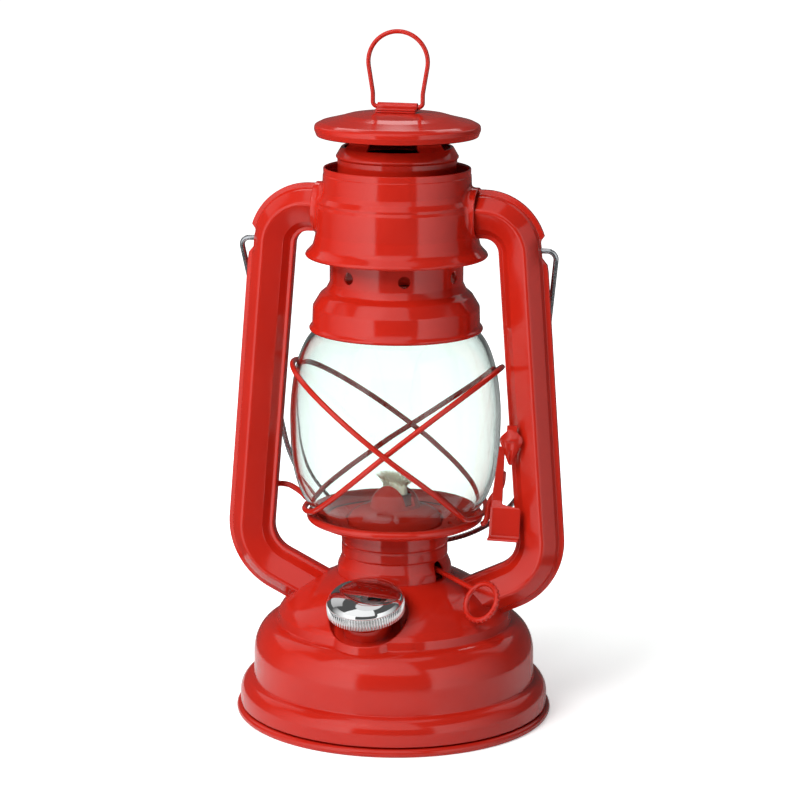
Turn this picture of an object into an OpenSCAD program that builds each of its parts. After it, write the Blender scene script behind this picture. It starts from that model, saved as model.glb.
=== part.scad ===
// Kerosene lantern with a lifting globe, a sprung hood, a screw filler cap and a wick raiser.
// Millimetres, Z up, origin on the floor under the middle of the tank.
// X runs through the two air tubes and the filler faces -Y.

/* [Tank] */
// Outer radius of the crimped rim
rim_r = 57.5; // [55:0.5:60]
// Radius of the rolled rim bead
rim_bead = 1.5; // [1.2:0.1:1.8]
// Depth of the flat pressed into the bead where it stands
rim_flat = 0.2; // [0.1:0.1:0.4]
// Tank sheet thickness
sheet = 0.7; // [0.5:0.1:0.9]
// Step in from the rim to the bulged lower wall
skirt_in = 1.4; // [0.8:0.2:2.4]
// Height where the lower wall starts to round in
skirt_z = 7; // [6:0.5:9]
// Height of the crease over the lower wall
crease_z = 13; // [11:0.5:15]
// Radius of the upright middle wall
tier_r = 51.1; // [49:0.5:53]
// Height where the middle wall starts to round in
tier_z = 22; // [20:0.5:24]
// Rise of the rounded shoulder
shoulder_h = 12; // [10:0.5:14]
// Radius of the short band under the dome
band_r = 42.2; // [41:0.2:44]
// Height of the short band
band_h = 4.2; // [3:0.2:5]
// Rise of the dome above the band
dome_h = 13.4; // [12:0.2:15]
// Radius of the flat top of the dome
dome_r = 20.6; // [20.2:0.2:22]
// How far the dome bows out
dome_bow = 1.3; // [0.8:0.1:1.6]
// Radius of the hole for the burner
burner_hole_r = 13; // [12:0.5:15]

/* [Filler] */
// Distance of the filler's foot from the lantern's axis
filler_out = 32.8; // [31.8:0.2:34]
// Forward lean of the filler
filler_tilt = 15; // [12:1:18]
// Turn of the filler towards the left tube
filler_turn = 3; // [0:1:8]
// Radius of the pocket's mouth round the filler
pocket_r = 14.9; // [14.6:0.1:15.1]
// Radius of the pocket's flat floor
pocket_floor = 12; // [11:0.2:12.6]
// Height of the pocket's front rim above its floor
pocket_rim = 2; // [1.4:0.2:2.6]
// Outer radius of the filler neck
neck_r = 8.8; // [8:0.2:9.6]
// Neck height above the pocket floor
neck_h = 10.6; // [9.5:0.2:12]
// Outer radius of the filler cap
cap_r = 14; // [12.6:0.2:14.2]
// Height of the knurled band of the cap
cap_band = 4.7; // [4:0.1:5.5]
// Rise of the cap's dome
cap_dome = 4.4; // [3.4:0.2:5.4]
// Gasket thickness
gasket_t = 1.2; // [0.8:0.1:1.6]

/* [Burner] */
// Radius of the burner collar
collar_r = 19.3; // [19:0.1:20]
// Collar height
collar_h = 18.4; // [17:0.2:20]
// Radius of the gallery under the burner dome
gallery_r = 17.4; // [16.4:0.1:17.5]
// Height of the gallery
gallery_h = 11.2; // [10:0.2:12]
// Radius of the burner dome
cone_r = 12.2; // [11.4:0.2:13]
// Rise of the burner dome
cone_h = 8.9; // [8:0.2:9.6]
// Direction of the wick shaft, from X towards the front
wick_turn = 36; // [34:1:40]
// Wick width
wick_w = 12; // [11:0.5:12.5]
// Wick thickness
wick_t = 2.2; // [2:0.1:2.4]
// Wick above the burner dome
wick_out = 4.3; // [3:0.1:6]
// Radius of the toothed wheels
wheel_r = 3.2; // [2.8:0.1:3.3]
// Teeth on each wheel
wheel_teeth = 10; // [8:1:14]
// Height of the shaft over the burner base
shaft_up = 5.4; // [5:0.1:6]
// Downward slope of the shaft
shaft_slope = 8; // [5:0.5:10]
// Radius of the shaft wire
shaft_r = 0.95; // [0.8:0.05:1.1]
// Shaft length from the wick to the knob's middle
shaft_l = 44.6; // [42:0.5:48]
// Centreline radius of the ring knob
knob_r = 6.7; // [6:0.1:7.5]

/* [Globe and carriage] */
// Radius of the globe plate's rolled rim
plate_r = 30.5; // [29.8:0.1:31.2]
// Radius of the bead on that rim
plate_bead = 1.45; // [1.2:0.05:1.6]
// Height of the bead above the plate's underside
plate_rise = 2.6; // [2.2:0.1:3]
// Small holes in each ring of the plate
plate_holes = 20; // [14:1:24]
// Largest outer radius of the globe
globe_r = 37.9; // [37:0.1:38.4]
// Height of the globe
globe_h = 81; // [78:0.5:84]
// Room between the globe's foot and the middle of the plate's rim
foot_room = 4.3; // [3.9:0.1:4.8]
// Outer radius of the globe's neck
globe_neck = 27.6; // [27.2:0.1:27.8]
// Glass thickness
glass = 1.6; // [1.2:0.1:2]
// Wire diameter of the guard hoops
hoop_d = 2; // [1.6:0.1:2.1]
// Tilt of each guard hoop
hoop_tilt = 37.5; // [36.5:0.25:38.5]
// Rise of the hoops' crossing at the front
hoop_pitch = 6; // [3:0.5:8]
// Turn of the hoops about the axis
hoop_turn = 6; // [3:0.5:9]
// Wire radius of the guide arm and the lift arm
arm_r = 1.05; // [0.85:0.05:1.1]
// Width of the thumb plate
thumb_w = 10.8; // [9:0.2:11.4]
// Height of the thumb plate
thumb_h = 9.6; // [8:0.2:11]
// Lever strip thickness
lever_t = 0.8; // [0.6:0.1:1]

/* [Tubes] */
// Section of a tube across its seam
tube_w = 17.2; // [16.4:0.2:18]
// Section of a tube from front to back
tube_d = 16; // [15.4:0.2:16.8]
// Tube wall thickness
tube_wall = 0.8; // [0.6:0.1:1]
// Centreline radius of the upper bend
top_bend = 13.8; // [12:0.2:14.4]
// Centreline radius of the lower bend
foot_bend = 18.7; // [17:0.2:20]
// How far the middle of the lower bend lies inside the globe's largest radius
foot_in = 2.7; // [1.5:0.2:3.1]
// Middle of the lower bend above the dome's edge
foot_up = 28.3; // [27:0.2:30]
// Slope of the foot where it meets the dome
foot_slope = 26; // [24:0.5:29]
// Length of the notch in the seam at each bail hole
ear_l = 8; // [6:0.5:10]
// Depth of that notch
ear_deep = 1.3; // [1:0.1:1.6]

/* [Chamber and hood] */
// Lower radius of the air chamber
chamber_r = 28.8; // [28.4:0.1:29.4]
// Upper radius of the air chamber
chamber_top_r = 26.6; // [26.2:0.1:27.2]
// Lip radius of the flared skirt
flare_r = 33; // [32:0.1:34]
// Hood sheet thickness
hood_t = 0.7; // [0.5:0.1:0.8]
// Radius of the bell
bell_r = 29.85; // [29.5:0.05:30.2]
// Radius of the bell's neck
bell_neck = 23.85; // [23.2:0.05:24.2]
// Height of the bell and its neck
bell_h = 27.2; // [26:0.2:28]
// Vent holes round the neck
vents = 7; // [5:1:9]
// Diameter of a vent hole
vent_d = 4.3; // [3:0.1:5]
// Radius of the chimney tube
chimney_r = 16.5; // [15.5:0.1:16.8]
// Lower radius of the crown
crown_r = 21.7; // [20.6:0.1:22.4]
// Height of the crown to the canopy's rim
crown_h = 8; // [7.4:0.1:9]
// Angle of each crown window
window = 56; // [44:1:62]
// Rim radius of the canopy
canopy_r = 29.55; // [28:0.1:31]
// Rise of the canopy above its rim
canopy_h = 8.15; // [7.6:0.1:9]
// Coils in the hood spring
spring_coils = 5; // [4:1:6]
// Wire diameter of the hood spring
spring_d = 1.2; // [0.8:0.1:1.4]

/* [Ring and bail] */
// Wire radius of the lifting ring
ring_wire = 0.8; // [0.6:0.05:0.9]
// Centreline radius of the ring's top
ring_r = 10.7; // [10:0.1:12]
// Height of the ring over its hinge
ring_h = 26.4; // [25:0.2:29]
// Length of the hinge strap
strap_l = 14.4; // [12:0.2:15]
// Wire radius of the bail
bail_wire = 0.95; // [0.8:0.05:1.1]
// Radius of the bail's bottom bow
bail_bow = 47.6; // [46.5:0.1:49]
// Middle of that bow below the bail's hinge
bail_drop = 74.4; // [70:0.2:76]
// Backward lean of the hanging bail
bail_lean = 15; // [14:0.5:20]

/* [Fits] */
// Gap between pieces that only rest on each other
seat = 0.3; // [0.25:0.05:0.4]
// Radial clearance of turning fits
fit = 0.08; // [0.04:0.01:0.1]

/* [Hidden] */
$fn = 64;
red = [0.78, 0.15, 0.1];
steel = [0.66, 0.67, 0.68];

// Heights, stacked from the floor up
rim_c = rim_r - rim_bead;
bead_z = rim_bead - rim_flat;
seam_z = bead_z + rim_bead;
skirt_r = rim_r - skirt_in;
crease_dip = 0.8;
band_z = tier_z + shoulder_h - crease_dip;
edge_r = band_r - 0.8;
edge_z = band_z + band_h + crease_dip;
dome_z = edge_z + dome_h;
collar_z = dome_z + collar_h;
plate_t = 0.8;
plate_z = collar_z + seat;
rim_z = plate_z + plate_rise;
globe_z = plate_z + plate_t;
globe_top = globe_z + globe_h;
bell_lap = 10.1;
bell_z = globe_top - bell_lap;
flange_z = bell_z + bell_h;
skirt_up = 26;
flare_z = bell_z + skirt_up;
tube_z = flare_z + 16.2;
chamber_z = tube_z + 15.2;
baffle_z = tube_z + 7.3;
baffle_t = 0.6;
crown_gap = 3.5;
crown_z = chamber_z + crown_gap;
canopy_z = crown_z + crown_h;
canopy_top = canopy_z + canopy_h;
base_t = 0.8;
base_z = dome_z;
shaft_z = base_z + base_t + shaft_up;
crease_gap = 11.4;
gallery_z = dome_z + crease_gap + 0.8;
cone_z = gallery_z + gallery_h;
cone_top = cone_z + cone_h;

// Points on an elliptic arc
function oval(c, a, b, from, to, n) =
    [for (i = [0:n]) let (t = from + (to - from) * i / n) c + [a * cos(t), b * sin(t)]];
// Points on a line that bows to its right
function bow(p, q, sag, n) =
    [for (i = [0:n])
        let (t = i / n, d = (q - p) / norm(q - p))
        p + (q - p) * t + [d[1], -d[0]] * sag * 4 * t * (1 - t)];
// A profile moved to its left by the sheet thickness
function inside(p, t) =
    [for (i = [0:len(p) - 1])
        let (d = p[min(i + 1, len(p) - 1)] - p[max(i - 1, 0)], q = p[i] + t * [-d[1], d[0]] / norm(d))
        [max(q[0], 0), q[1]]];
function back(p) = [for (i = [len(p) - 1:-1:0]) p[i]];

// Sheet metal of one thickness along a profile
module sheet_of(p, t) {
    polygon(concat(p, back(inside(p, t))));
}

// Round wire along straights and bends; each straight runs a little way into the bends,
// which are a hair thicker so that the surfaces cross cleanly
wire_lap = 0.12;
wire_more = 0.02;
module wire(steps, r, closed = false, i = 0) {
    if (i < len(steps)) {
        l = steps[i][0];
        a = steps[i][1];
        b = steps[i][2];
        start = i > 0 || closed ? wire_lap : 0;
        end = a == 0 ? 0 : wire_lap;
        translate([0, 0, -start]) cylinder(r = r, h = l + start + end);
        if (a > 0) {
            translate([b, 0, l]) rotate([90, 0, 180])
                rotate_extrude(angle = a) translate([b, 0]) circle(r + wire_more, $fn = 32);
        }
        if (a < 0) {
            translate([-b, 0, l]) rotate([90, 0, 0])
                rotate_extrude(angle = -a) translate([b, 0]) circle(r + wire_more, $fn = 32);
        }
        translate([sign(a) * (b - b * cos(a)), 0, l + b * sin(abs(a))])
            rotate([0, a, 0]) wire(steps, r, closed, i + 1);
    }
}

// Tank
tank_line = concat(
    [[rim_c, seam_z], [skirt_r, seam_z + 1.6]],
    oval([tier_r, skirt_z], skirt_r - tier_r, crease_z - skirt_z, 0, 90, 6),
    oval([band_r, tier_z], tier_r - band_r, shoulder_h, 0, 86, 9),
    [[band_r, band_z]],
    bow([edge_r, edge_z], [dome_r, dome_z], dome_bow, 8));

module at_filler() {
    rotate([0, 0, -filler_turn]) translate([0, -filler_out, edge_z + 0.6])
        rotate([filler_tilt, 0, 0]) children();
}

// Dished pocket round the filler, larger by a wall all round
pocket_flare = 5.4;
module pocket(wall) {
    at_filler() translate([0, 0, -wall]) {
        cylinder(r1 = pocket_floor + wall, r2 = pocket_r + wall, h = pocket_flare);
        translate([0, 0, pocket_flare]) cylinder(r = pocket_r + wall, h = 40);
    }
}

// Swelling of the band that carries the pocket's front rim, smaller by a wall all round
swell_low = 7;
swell_flare = 0.35;
swell_r = pocket_floor + (pocket_r - pocket_floor) * pocket_rim / pocket_flare + sheet;
module pocket_swell(wall) {
    at_filler() translate([0, 0, -swell_low])
        cylinder(r1 = swell_r + swell_flare * (swell_low + pocket_rim) - wall, r2 = swell_r - wall,
            h = swell_low + pocket_rim);
}

module tank_solid() {
    difference() {
        union() {
            rotate_extrude() polygon(concat([[0, seam_z]], tank_line, [[0, dome_z]]));
            pocket_swell(0);
        }
        pocket(0);
    }
}

module tank_shell() {
    color(red) difference() {
        tank_solid();
        difference() {
            union() {
                rotate_extrude()
                    polygon(concat([[0, seam_z - 1]], [[rim_c - sheet, seam_z - 1]],
                        inside(tank_line, sheet), [[0, dome_z - sheet]]));
                pocket_swell(sheet);
            }
            pocket(sheet);
        }
        translate([0, 0, dome_z - 2]) cylinder(r = burner_hole_r, h = 4);
        at_filler() translate([0, 0, -2]) cylinder(r = neck_r, h = 4);
    }
}

pan_t = 0.8;
module tank_bottom() {
    color(red) rotate_extrude() intersection() {
        union() {
            translate([rim_c, bead_z]) circle(rim_bead);
            translate([0, bead_z]) square([rim_c, pan_t]);
        }
        square([rim_r + 1, seam_z]);
    }
}

// Filler
neck_t = 0.8;
cap_z = neck_h - 3.3;
cap_t = 0.8;
sleeve_t = 0.8;
sleeve_r = neck_r + fit;
gasket_z = neck_h + 0.1;
stop_z = gasket_z + gasket_t + 0.1;
band_top = cap_z + cap_band;

module filler_neck() {
    color(red) at_filler() translate([0, 0, -3]) difference() {
        cylinder(r = neck_r, h = neck_h + 3);
        translate([0, 0, -1]) cylinder(r = neck_r - neck_t, h = neck_h + 5);
    }
}

module filler_gasket() {
    color([0.1, 0.1, 0.1]) at_filler() translate([0, 0, gasket_z]) difference() {
        cylinder(r = neck_r - 0.1, h = gasket_t);
        translate([0, 0, -1]) cylinder(r = neck_r - 2, h = gasket_t + 2);
    }
}

cap_line = concat([[cap_r, cap_z], [cap_r, band_top]],
    oval([0, band_top], cap_r - 0.5, cap_dome, 8, 90, 8));
module filler_cap() {
    color(steel) at_filler() {
        rotate_extrude() sheet_of(cap_line, cap_t);
        rotate_extrude()
            polygon([[sleeve_r, cap_z + 0.4], [sleeve_r, stop_z], [neck_r - 1.8, stop_z],
                [neck_r - 1.8, band_top + cap_dome * 0.76], [sleeve_r + sleeve_t, band_top + cap_dome * 0.6],
                [sleeve_r + sleeve_t, cap_z + 0.4]]);
    }
}

// Burner
collar_t = 0.8;
crease_in = 0.35;
collar_line = [[collar_r + 1.6, dome_z], [collar_r + 1.3, dome_z + 3.4], [collar_r + 0.1, dome_z + 6.2],
    [collar_r - crease_in, dome_z + 7], [collar_r, dome_z + 7.8], [collar_r, dome_z + crease_gap - 0.8],
    [collar_r - crease_in, dome_z + crease_gap], [collar_r, dome_z + crease_gap + 0.8],
    [collar_r, collar_z]];
slot_w = 5;
slot_h = 6.8;
slot_turn = 24;
lip_w = 1.7;
lip_t = 0.6;

module burner_collar() {
    color(red) difference() {
        rotate_extrude() {
            sheet_of(collar_line, collar_t);
            translate([collar_r - 0.4, collar_z - lip_t]) square([lip_w + 0.4, lip_t]);
        }
        translate([0, 0, dome_z - 1]) cylinder(r = collar_r + 3, h = 1);
        rotate([0, 0, -slot_turn]) translate([0, 0, dome_z]) {
            translate([10, -slot_w / 2, -1]) cube([20, slot_w, slot_h - slot_w / 2 + 1]);
            translate([10, 0, slot_h - slot_w / 2]) rotate([0, 90, 0]) cylinder(d = slot_w, h = 20);
        }
    }
}

module at_wick() {
    rotate([0, 0, -wick_turn]) children();
}

// Wick channel and the shaft beside it
channel = 0.3;
tube_t = 0.5;
in_w = wick_w + 2 * channel;
in_t = wick_t + 2 * channel;
out_w = in_w + 2 * tube_t;
out_t = in_t + 2 * tube_t;
shaft_y = wick_t / 2 + 0.15 + wheel_r;
wheel_x = 2.6;
wheel_t = 0.8;
lug_x = 5.6;
lug_t = 1;

module at_shaft() {
    at_wick() translate([0, shaft_y, shaft_z]) rotate([0, shaft_slope, 0]) children();
}

module burner_base() {
    color(red) difference() {
        translate([0, 0, base_z]) cylinder(r = collar_r - collar_t - 0.4, h = base_t);
        at_wick() translate([-out_w / 2, -out_t / 2, base_z - 1]) cube([out_w, out_t, base_t + 2]);
    }
}

module wick_tube() {
    color(steel) difference() {
        union() {
            at_wick() translate([-out_w / 2, -out_t / 2, base_z - 5])
                cube([out_w, out_t, cone_top - 2.5 - base_z + 5]);
            at_wick() for (side = [-1, 1])
                translate([side * lug_x - lug_t / 2, in_t / 2, shaft_z - 2.6])
                    cube([lug_t, shaft_y - in_t / 2 + shaft_r + 1, 5.2]);
        }
        at_wick() translate([-in_w / 2, -in_t / 2, base_z - 6]) cube([in_w, in_t, 60]);
        at_wick() for (side = [-1, 1])
            translate([side * wheel_x - wheel_t / 2 - 0.9, 0.2, shaft_z - wheel_r - 0.8])
                cube([wheel_t + 1.8, out_t, 2 * wheel_r + 1.6]);
        at_shaft() rotate([0, 90, 0]) cylinder(r = shaft_r + fit, h = 30, center = true);
    }
}

wick_foot = 14;
module wick() {
    color([0.93, 0.89, 0.8]) at_wick() translate([-wick_w / 2, -wick_t / 2, wick_foot])
        cube([wick_w, wick_t, cone_top + wick_out - wick_foot]);
}

knob_drop = 2.7;
knob_roll = 30;
shaft_in = 7.5;
knob_wire = 0.95;
module wick_shaft() {
    color(red) at_shaft() {
        translate([-shaft_in, 0, 0]) rotate([0, 90, 0])
            cylinder(r = shaft_r, h = shaft_in + shaft_l - sqrt(knob_r * knob_r - knob_drop * knob_drop));
        rotate([-knob_roll, 0, 0]) translate([shaft_l, 0, -knob_drop]) rotate([90, 0, 0])
            rotate_extrude() translate([knob_r, 0]) circle(knob_wire);
    }
}

function star(n, out, in) =
    [for (i = [0:2 * n - 1]) let (r = i % 2 == 0 ? out : in) r * [cos(180 * i / n), sin(180 * i / n)]];
module wick_wheels() {
    color(steel) at_shaft() for (side = [-1, 1])
        translate([side * wheel_x - wheel_t / 2, 0, 0]) rotate([0, 90, 0]) linear_extrude(wheel_t)
            difference() {
                polygon(star(wheel_teeth, wheel_r, wheel_r - 0.8));
                circle(shaft_r);
            }
}

cone_t = 0.6;
cone_line = concat([[gallery_r, gallery_z], [gallery_r, cone_z - 0.6], [gallery_r - 0.6, cone_z]],
    oval([0, cone_z], cone_r, cone_h, 3, 90, 9));
module burner_cone() {
    color(red) difference() {
        rotate_extrude() {
            sheet_of(cone_line, cone_t);
            translate([gallery_r - cone_t, gallery_z]) square([collar_r - collar_t - 0.1 - gallery_r + cone_t, cone_t]);
        }
        at_wick() translate([-out_w / 2 - 0.6, -out_t / 2 - 0.6, cone_z + 2])
            cube([out_w + 1.2, out_t + 1.2, 20]);
    }
}

// Air tubes
seam_t = 0.9;
rib_t = 2.3;
half = [[tube_w / 2, seam_t], [tube_w / 2 - 1.3, seam_t + 1.7], [tube_w / 2 - 6.6, tube_d / 2],
    [2.3 - tube_w / 2, rib_t + 2.2], [1.6 - tube_w / 2, rib_t + 1], [-tube_w / 2, rib_t]];
tube_shape = concat(half, [for (p = back(half)) [p[0], -p[1]]]);
foot_x = globe_r - foot_in;
stub_x = globe_r - 8.3;
stub_l = 2.4;
c1 = [stub_x + stub_l, tube_z - top_bend];
c2 = [foot_x, edge_z + foot_up];
span = norm(c2 - c1);
splay = acos((top_bend - foot_bend) / span) - atan2(c1[1] - c2[1], c2[0] - c1[0]);
straight = sqrt(span * span - (foot_bend - top_bend) * (foot_bend - top_bend));
foot_turn = 90 + splay - foot_slope;
foot_l = 20;
ear_z = tube_z - 12.2;
ear_x = tube_x(ear_z) + tube_w / 2 - 1.9;
ear_out = 3;

// Distance of a tube's centreline from the axis at a height on its straight
function tube_x(z) = c1[0] + top_bend * cos(splay) + (c1[1] + top_bend * sin(splay) - z) * tan(splay);

// Section of a tube, smaller by a wall all round
module tube_section(wall) {
    kw = 1 - 2 * wall / tube_w;
    kd = 1 - 2 * wall / tube_d;
    polygon([for (p = tube_shape) [p[0] * kw, p[1] * kd]]);
}

module tube_straight(from, to, wall) {
    translate([0, 0, from]) linear_extrude(to - from) mirror([1, 0]) tube_section(wall);
}

module tube_bend(r, turn, wall) {
    translate([r, 0, 0]) rotate([90, 0, 180])
        rotate_extrude(angle = turn) translate([r, 0]) tube_section(wall - wire_more);
}

// A tube from its stub to below the dome's skin, with laps as in the wires
module tube_run(wall) {
    translate([stub_x, 0, tube_z]) rotate([0, 90, 0]) {
        tube_straight(0, stub_l + wire_lap, wall);
        translate([0, 0, stub_l]) tube_bend(top_bend, 90 - splay, wall);
        translate([top_bend * (1 - sin(splay)), 0, stub_l + top_bend * cos(splay)]) rotate([0, 90 - splay, 0]) {
            tube_straight(-wire_lap, straight + wire_lap, wall);
            translate([0, 0, straight]) tube_bend(foot_bend, foot_turn, wall);
            translate([foot_bend * (1 - cos(foot_turn)), 0, straight + foot_bend * sin(foot_turn)])
                rotate([0, foot_turn, 0]) tube_straight(-wire_lap, foot_l, wall);
        }
    }
}

// Frame on the outer edge of the right tube at its bail hole, along the tube
ear_wall = 1.2;
module at_ear() {
    translate([tube_x(ear_z) + tube_w / 2, 0, ear_z]) rotate([0, -splay, 0]) children();
}

module right_tube() {
    color(red) difference() {
        union() {
            difference() {
                tube_run(0);
                tube_run(tube_wall);
            }
            intersection() {
                tube_run(0);
                at_ear() translate([-ear_deep - ear_wall, -tube_d / 2, -ear_l / 2 - ear_wall])
                    cube([ear_deep + ear_wall + 5, tube_d, ear_l + 2 * ear_wall]);
            }
        }
        at_ear() translate([-ear_deep, -tube_d / 2, -ear_l / 2]) cube([ear_deep + 5, tube_d, ear_l]);
        translate([ear_x - 10, 0, ear_z]) rotate([0, 90, 0]) cylinder(r = bail_wire + fit, h = 20);
        tank_solid();
    }
}

module left_tube() {
    mirror([1, 0, 0]) right_tube();
}

// Air chamber with its two stubs
chamber_t = 0.7;
flare_roll = 0.8;
chamber_line = [[flare_r - flare_roll, flare_z], [flare_r - 1.4, flare_z + 2.1],
    [flare_r - 2.8, flare_z + 3.6], [chamber_r + 0.4, flare_z + 4.6], [chamber_r, flare_z + 6],
    [chamber_r, tube_z + 1.6], [chamber_r - 0.7, tube_z + 2.6], [chamber_r - 0.5, tube_z + 3.4],
    [chamber_top_r + 0.4, tube_z + 5.2], [chamber_top_r, tube_z + 6.4], [chamber_top_r - 0.5, chamber_z]];
stub_r = 9.3;
stub_bore = 7.2;
module air_chamber() {
    color(red) difference() {
        union() {
            rotate_extrude() {
                sheet_of(chamber_line, chamber_t);
                translate([flare_r - flare_roll, flare_z]) circle(flare_roll);
            }
            for (side = [-1, 1]) translate([0, 0, tube_z]) rotate([0, side * 90, 0]) difference() {
                cylinder(r = stub_r, h = stub_x);
                rotate([0, -side * 90, 0]) cylinder(r = chamber_top_r - chamber_t, h = 60, center = true);
            }
        }
        translate([0, 0, tube_z]) rotate([0, 90, 0]) cylinder(r = stub_bore, h = 2 * stub_x + 2, center = true);
    }
}

module chamber_baffle() {
    color(red) translate([0, 0, baffle_z]) difference() {
        cylinder(r = chamber_top_r - chamber_t - 0.15, h = baffle_t);
        translate([0, 0, -1]) cylinder(r = chimney_r + 0.6, h = baffle_t + 2);
    }
}

// Globe carriage
hole_d = 1.8;
module globe_plate() {
    color(red) difference() {
        rotate_extrude() {
            translate([plate_r, rim_z]) circle(plate_bead);
            polygon([[gallery_r + 0.6, plate_z], [plate_r - 1.2, plate_z], [plate_r, rim_z - 0.6],
                [plate_r - 0.8, rim_z], [plate_r - 1.9, globe_z], [gallery_r + 0.6, globe_z]]);
        }
        for (ring = [[gallery_r + 3.2, 0], [gallery_r + 5.8, 9]], i = [1:plate_holes])
            rotate([0, 0, i * 360 / plate_holes + ring[1]]) translate([ring[0], 0, plate_z - 1])
                cylinder(d = hole_d, h = plate_t + 2);
    }
}

globe_foot = plate_r - foot_room;
belly_h = 34;
waist_up = 41;
shoulder_up = 63.4;
neck_up = 70.9;
globe_line = concat(
    [for (i = [0:9]) let (u = i / 9)
        [globe_foot + (globe_r - globe_foot) * (1 - pow(1 - u, 2.8)), globe_z + belly_h * u]],
    bow([globe_r, globe_z + waist_up], [globe_r - 4.3, globe_z + shoulder_up], 1.3, 6),
    [[globe_neck + 3, globe_z + neck_up - 3], [globe_neck + 0.8, globe_z + neck_up - 0.6],
        [globe_neck, globe_z + neck_up + 1.2], [globe_neck, globe_top]]);
module globe() {
    color([0.8, 0.9, 0.95, 0.4]) rotate_extrude() sheet_of(globe_line, glass);
}

// Guard hoops, each a wire oval in a tilted plane
hoop_mid = globe_z + 28.4;
hoop_low = (plate_r + plate_bead + hoop_d / 2 + 0.05) / cos(hoop_tilt);
hoop_c = 6.4;
hoop_r = globe_r + 2.1 + hoop_d / 2;
hoop_over = hoop_d + 0.2;
corner_r = 8;
corner_q = 22.5;

// A hoop of radius r whose round end stands c beyond the lantern's axis
module hoop(r, c) {
    away = hoop_low - corner_r + c;
    far = norm([away, corner_q]);
    bend = atan2(corner_q, -away) - acos((r - corner_r) / far);
    side = sqrt(far * far - (r - corner_r) * (r - corner_r));
    rotate([0, -hoop_tilt, 0]) rotate([-90, 0, 0]) translate([-hoop_low, 0, 0])
        translate([0, 0, -corner_q])
            wire([[2 * corner_q, 180 - bend, corner_r], [side, 2 * bend, r], [side, 180 - bend, corner_r]],
                hoop_d / 2, closed = true);
}

module at_hoops() {
    translate([0, 0, hoop_mid]) rotate([0, 0, hoop_turn]) rotate([-hoop_pitch, 0, 0]) children();
}

module inner_hoop() {
    color(red) at_hoops() hoop(hoop_r, hoop_c);
}

module outer_hoop() {
    color(red) at_hoops() mirror([1, 0, 0]) hoop(hoop_r + hoop_over, hoop_c - hoop_over);
}

// Arms from the hoops' low ends to the tubes
low_x = hoop_low * cos(hoop_tilt);
low_z = hoop_mid - hoop_low * sin(hoop_tilt);
arm_gap = hoop_d / 2 + arm_r + 0.15;
guide_y = 5.2;
guide_up = 5.9;
guide_in = 1.2;
guide_hoop = [low_x / cos(hoop_turn) + guide_y * tan(hoop_turn),
    low_z - (guide_y + low_x * sin(hoop_turn)) * tan(hoop_pitch)];
guide_end = tube_x(low_z + guide_up) - tube_w / 2 + guide_in;
guide_turn = 35;
guide_bend = 3;
guide_rise = low_z + guide_up - guide_hoop[1];
guide_knee = guide_hoop[0] + guide_rise * tan(guide_turn);
guide_cut = guide_bend * tan((90 - guide_turn) / 2);
module guide_arm() {
    color(red) mirror([1, 0, 0]) translate([guide_end, guide_y, low_z + guide_up]) rotate([0, -90, 0])
        wire([[guide_end - guide_knee - guide_cut, guide_turn - 90, guide_bend],
            [guide_rise / cos(guide_turn) - guide_cut - arm_gap, 0, 0]], arm_r);
}

lift_y = -4.05;
lift_hoop = [low_x / cos(hoop_turn) - lift_y * tan(hoop_turn),
    low_z - (lift_y - low_x * sin(hoop_turn)) * tan(hoop_pitch)];
lift_bend = 3;
lift_out = 19;
lift_back = -16;
lift_in = -21;
lift_steps = [5.6, 4.2, 3.2, 7.5];
lift_l = lift_steps[0] + lift_steps[1] + lift_steps[2] + lift_steps[3] + lift_bend;
lift_clear = 0.6;
lift_bow = 1.9;
lift_reach = tube_x(lift_hoop[1] + lift_l) - tube_w / 2 - arm_r - lift_clear - lift_hoop[0] - arm_gap;
lift_lean = asin(lift_reach / lift_l) + lift_bow;
module lift_arm() {
    color(red) translate([lift_hoop[0] + arm_gap, lift_y, lift_hoop[1]]) rotate([0, lift_lean, 0])
        wire([[lift_steps[0], lift_out, lift_bend], [lift_steps[1], lift_back, lift_bend],
            [lift_steps[2], lift_in, lift_bend], [lift_steps[3], 0, 0]], arm_r);
}

// Thumb lever: a strip that runs up behind the guide, with a plate and a rolled lip below
lever_y = lift_y - arm_r - 0.05;
thumb_y = lever_y - 1.5;
lever_side = 3.4;
strip_slant = 2.4;
strip_w = 2;
strip_room = 1.5;
lever_x = max(lift_hoop[0] + lever_side, globe_r + strip_room - strip_slant);
thumb_top = rim_z + 6.8;
strip_top = rim_z + 29;
lip_r = 2.6;
module lift_lever() {
    color(red) intersection() {
        translate([lever_x - 5, 0, 0]) rotate([90, 0, 90]) {
            linear_extrude(thumb_w + 10) polygon([[lever_y, strip_top], [lever_y, thumb_top + 2.2], [thumb_y, thumb_top - 0.6],
                [thumb_y, thumb_top - thumb_h], [thumb_y - 0.2, thumb_top - thumb_h - 0.6],
                [thumb_y - lever_t + 0.1, thumb_top - thumb_h - 0.6], [thumb_y - lever_t, thumb_top - thumb_h],
                [thumb_y - lever_t, thumb_top - 0.3], [lever_y - lever_t, thumb_top + 2.5],
                [lever_y - lever_t, strip_top]]);
            linear_extrude(thumb_w + 10) translate([thumb_y - lip_r, thumb_top - thumb_h]) intersection() {
                difference() {
                    circle(lip_r);
                    circle(lip_r - lever_t);
                }
                translate([-1.4, -2 * lip_r]) square([3 * lip_r, 2 * lip_r]);
            }
        }
        rotate([90, 0, 0]) linear_extrude(30)
            polygon([[lever_x - 0.9, thumb_top - thumb_h - 4], [lever_x + thumb_w - 0.6, thumb_top - thumb_h - 4],
                [lever_x + thumb_w, thumb_top], [lever_x + 3.6, thumb_top + 0.6],
                [lever_x + strip_slant + strip_w, strip_top], [lever_x + strip_slant, strip_top],
                [lever_x, thumb_top + 3.4]]);
    }
}

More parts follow.
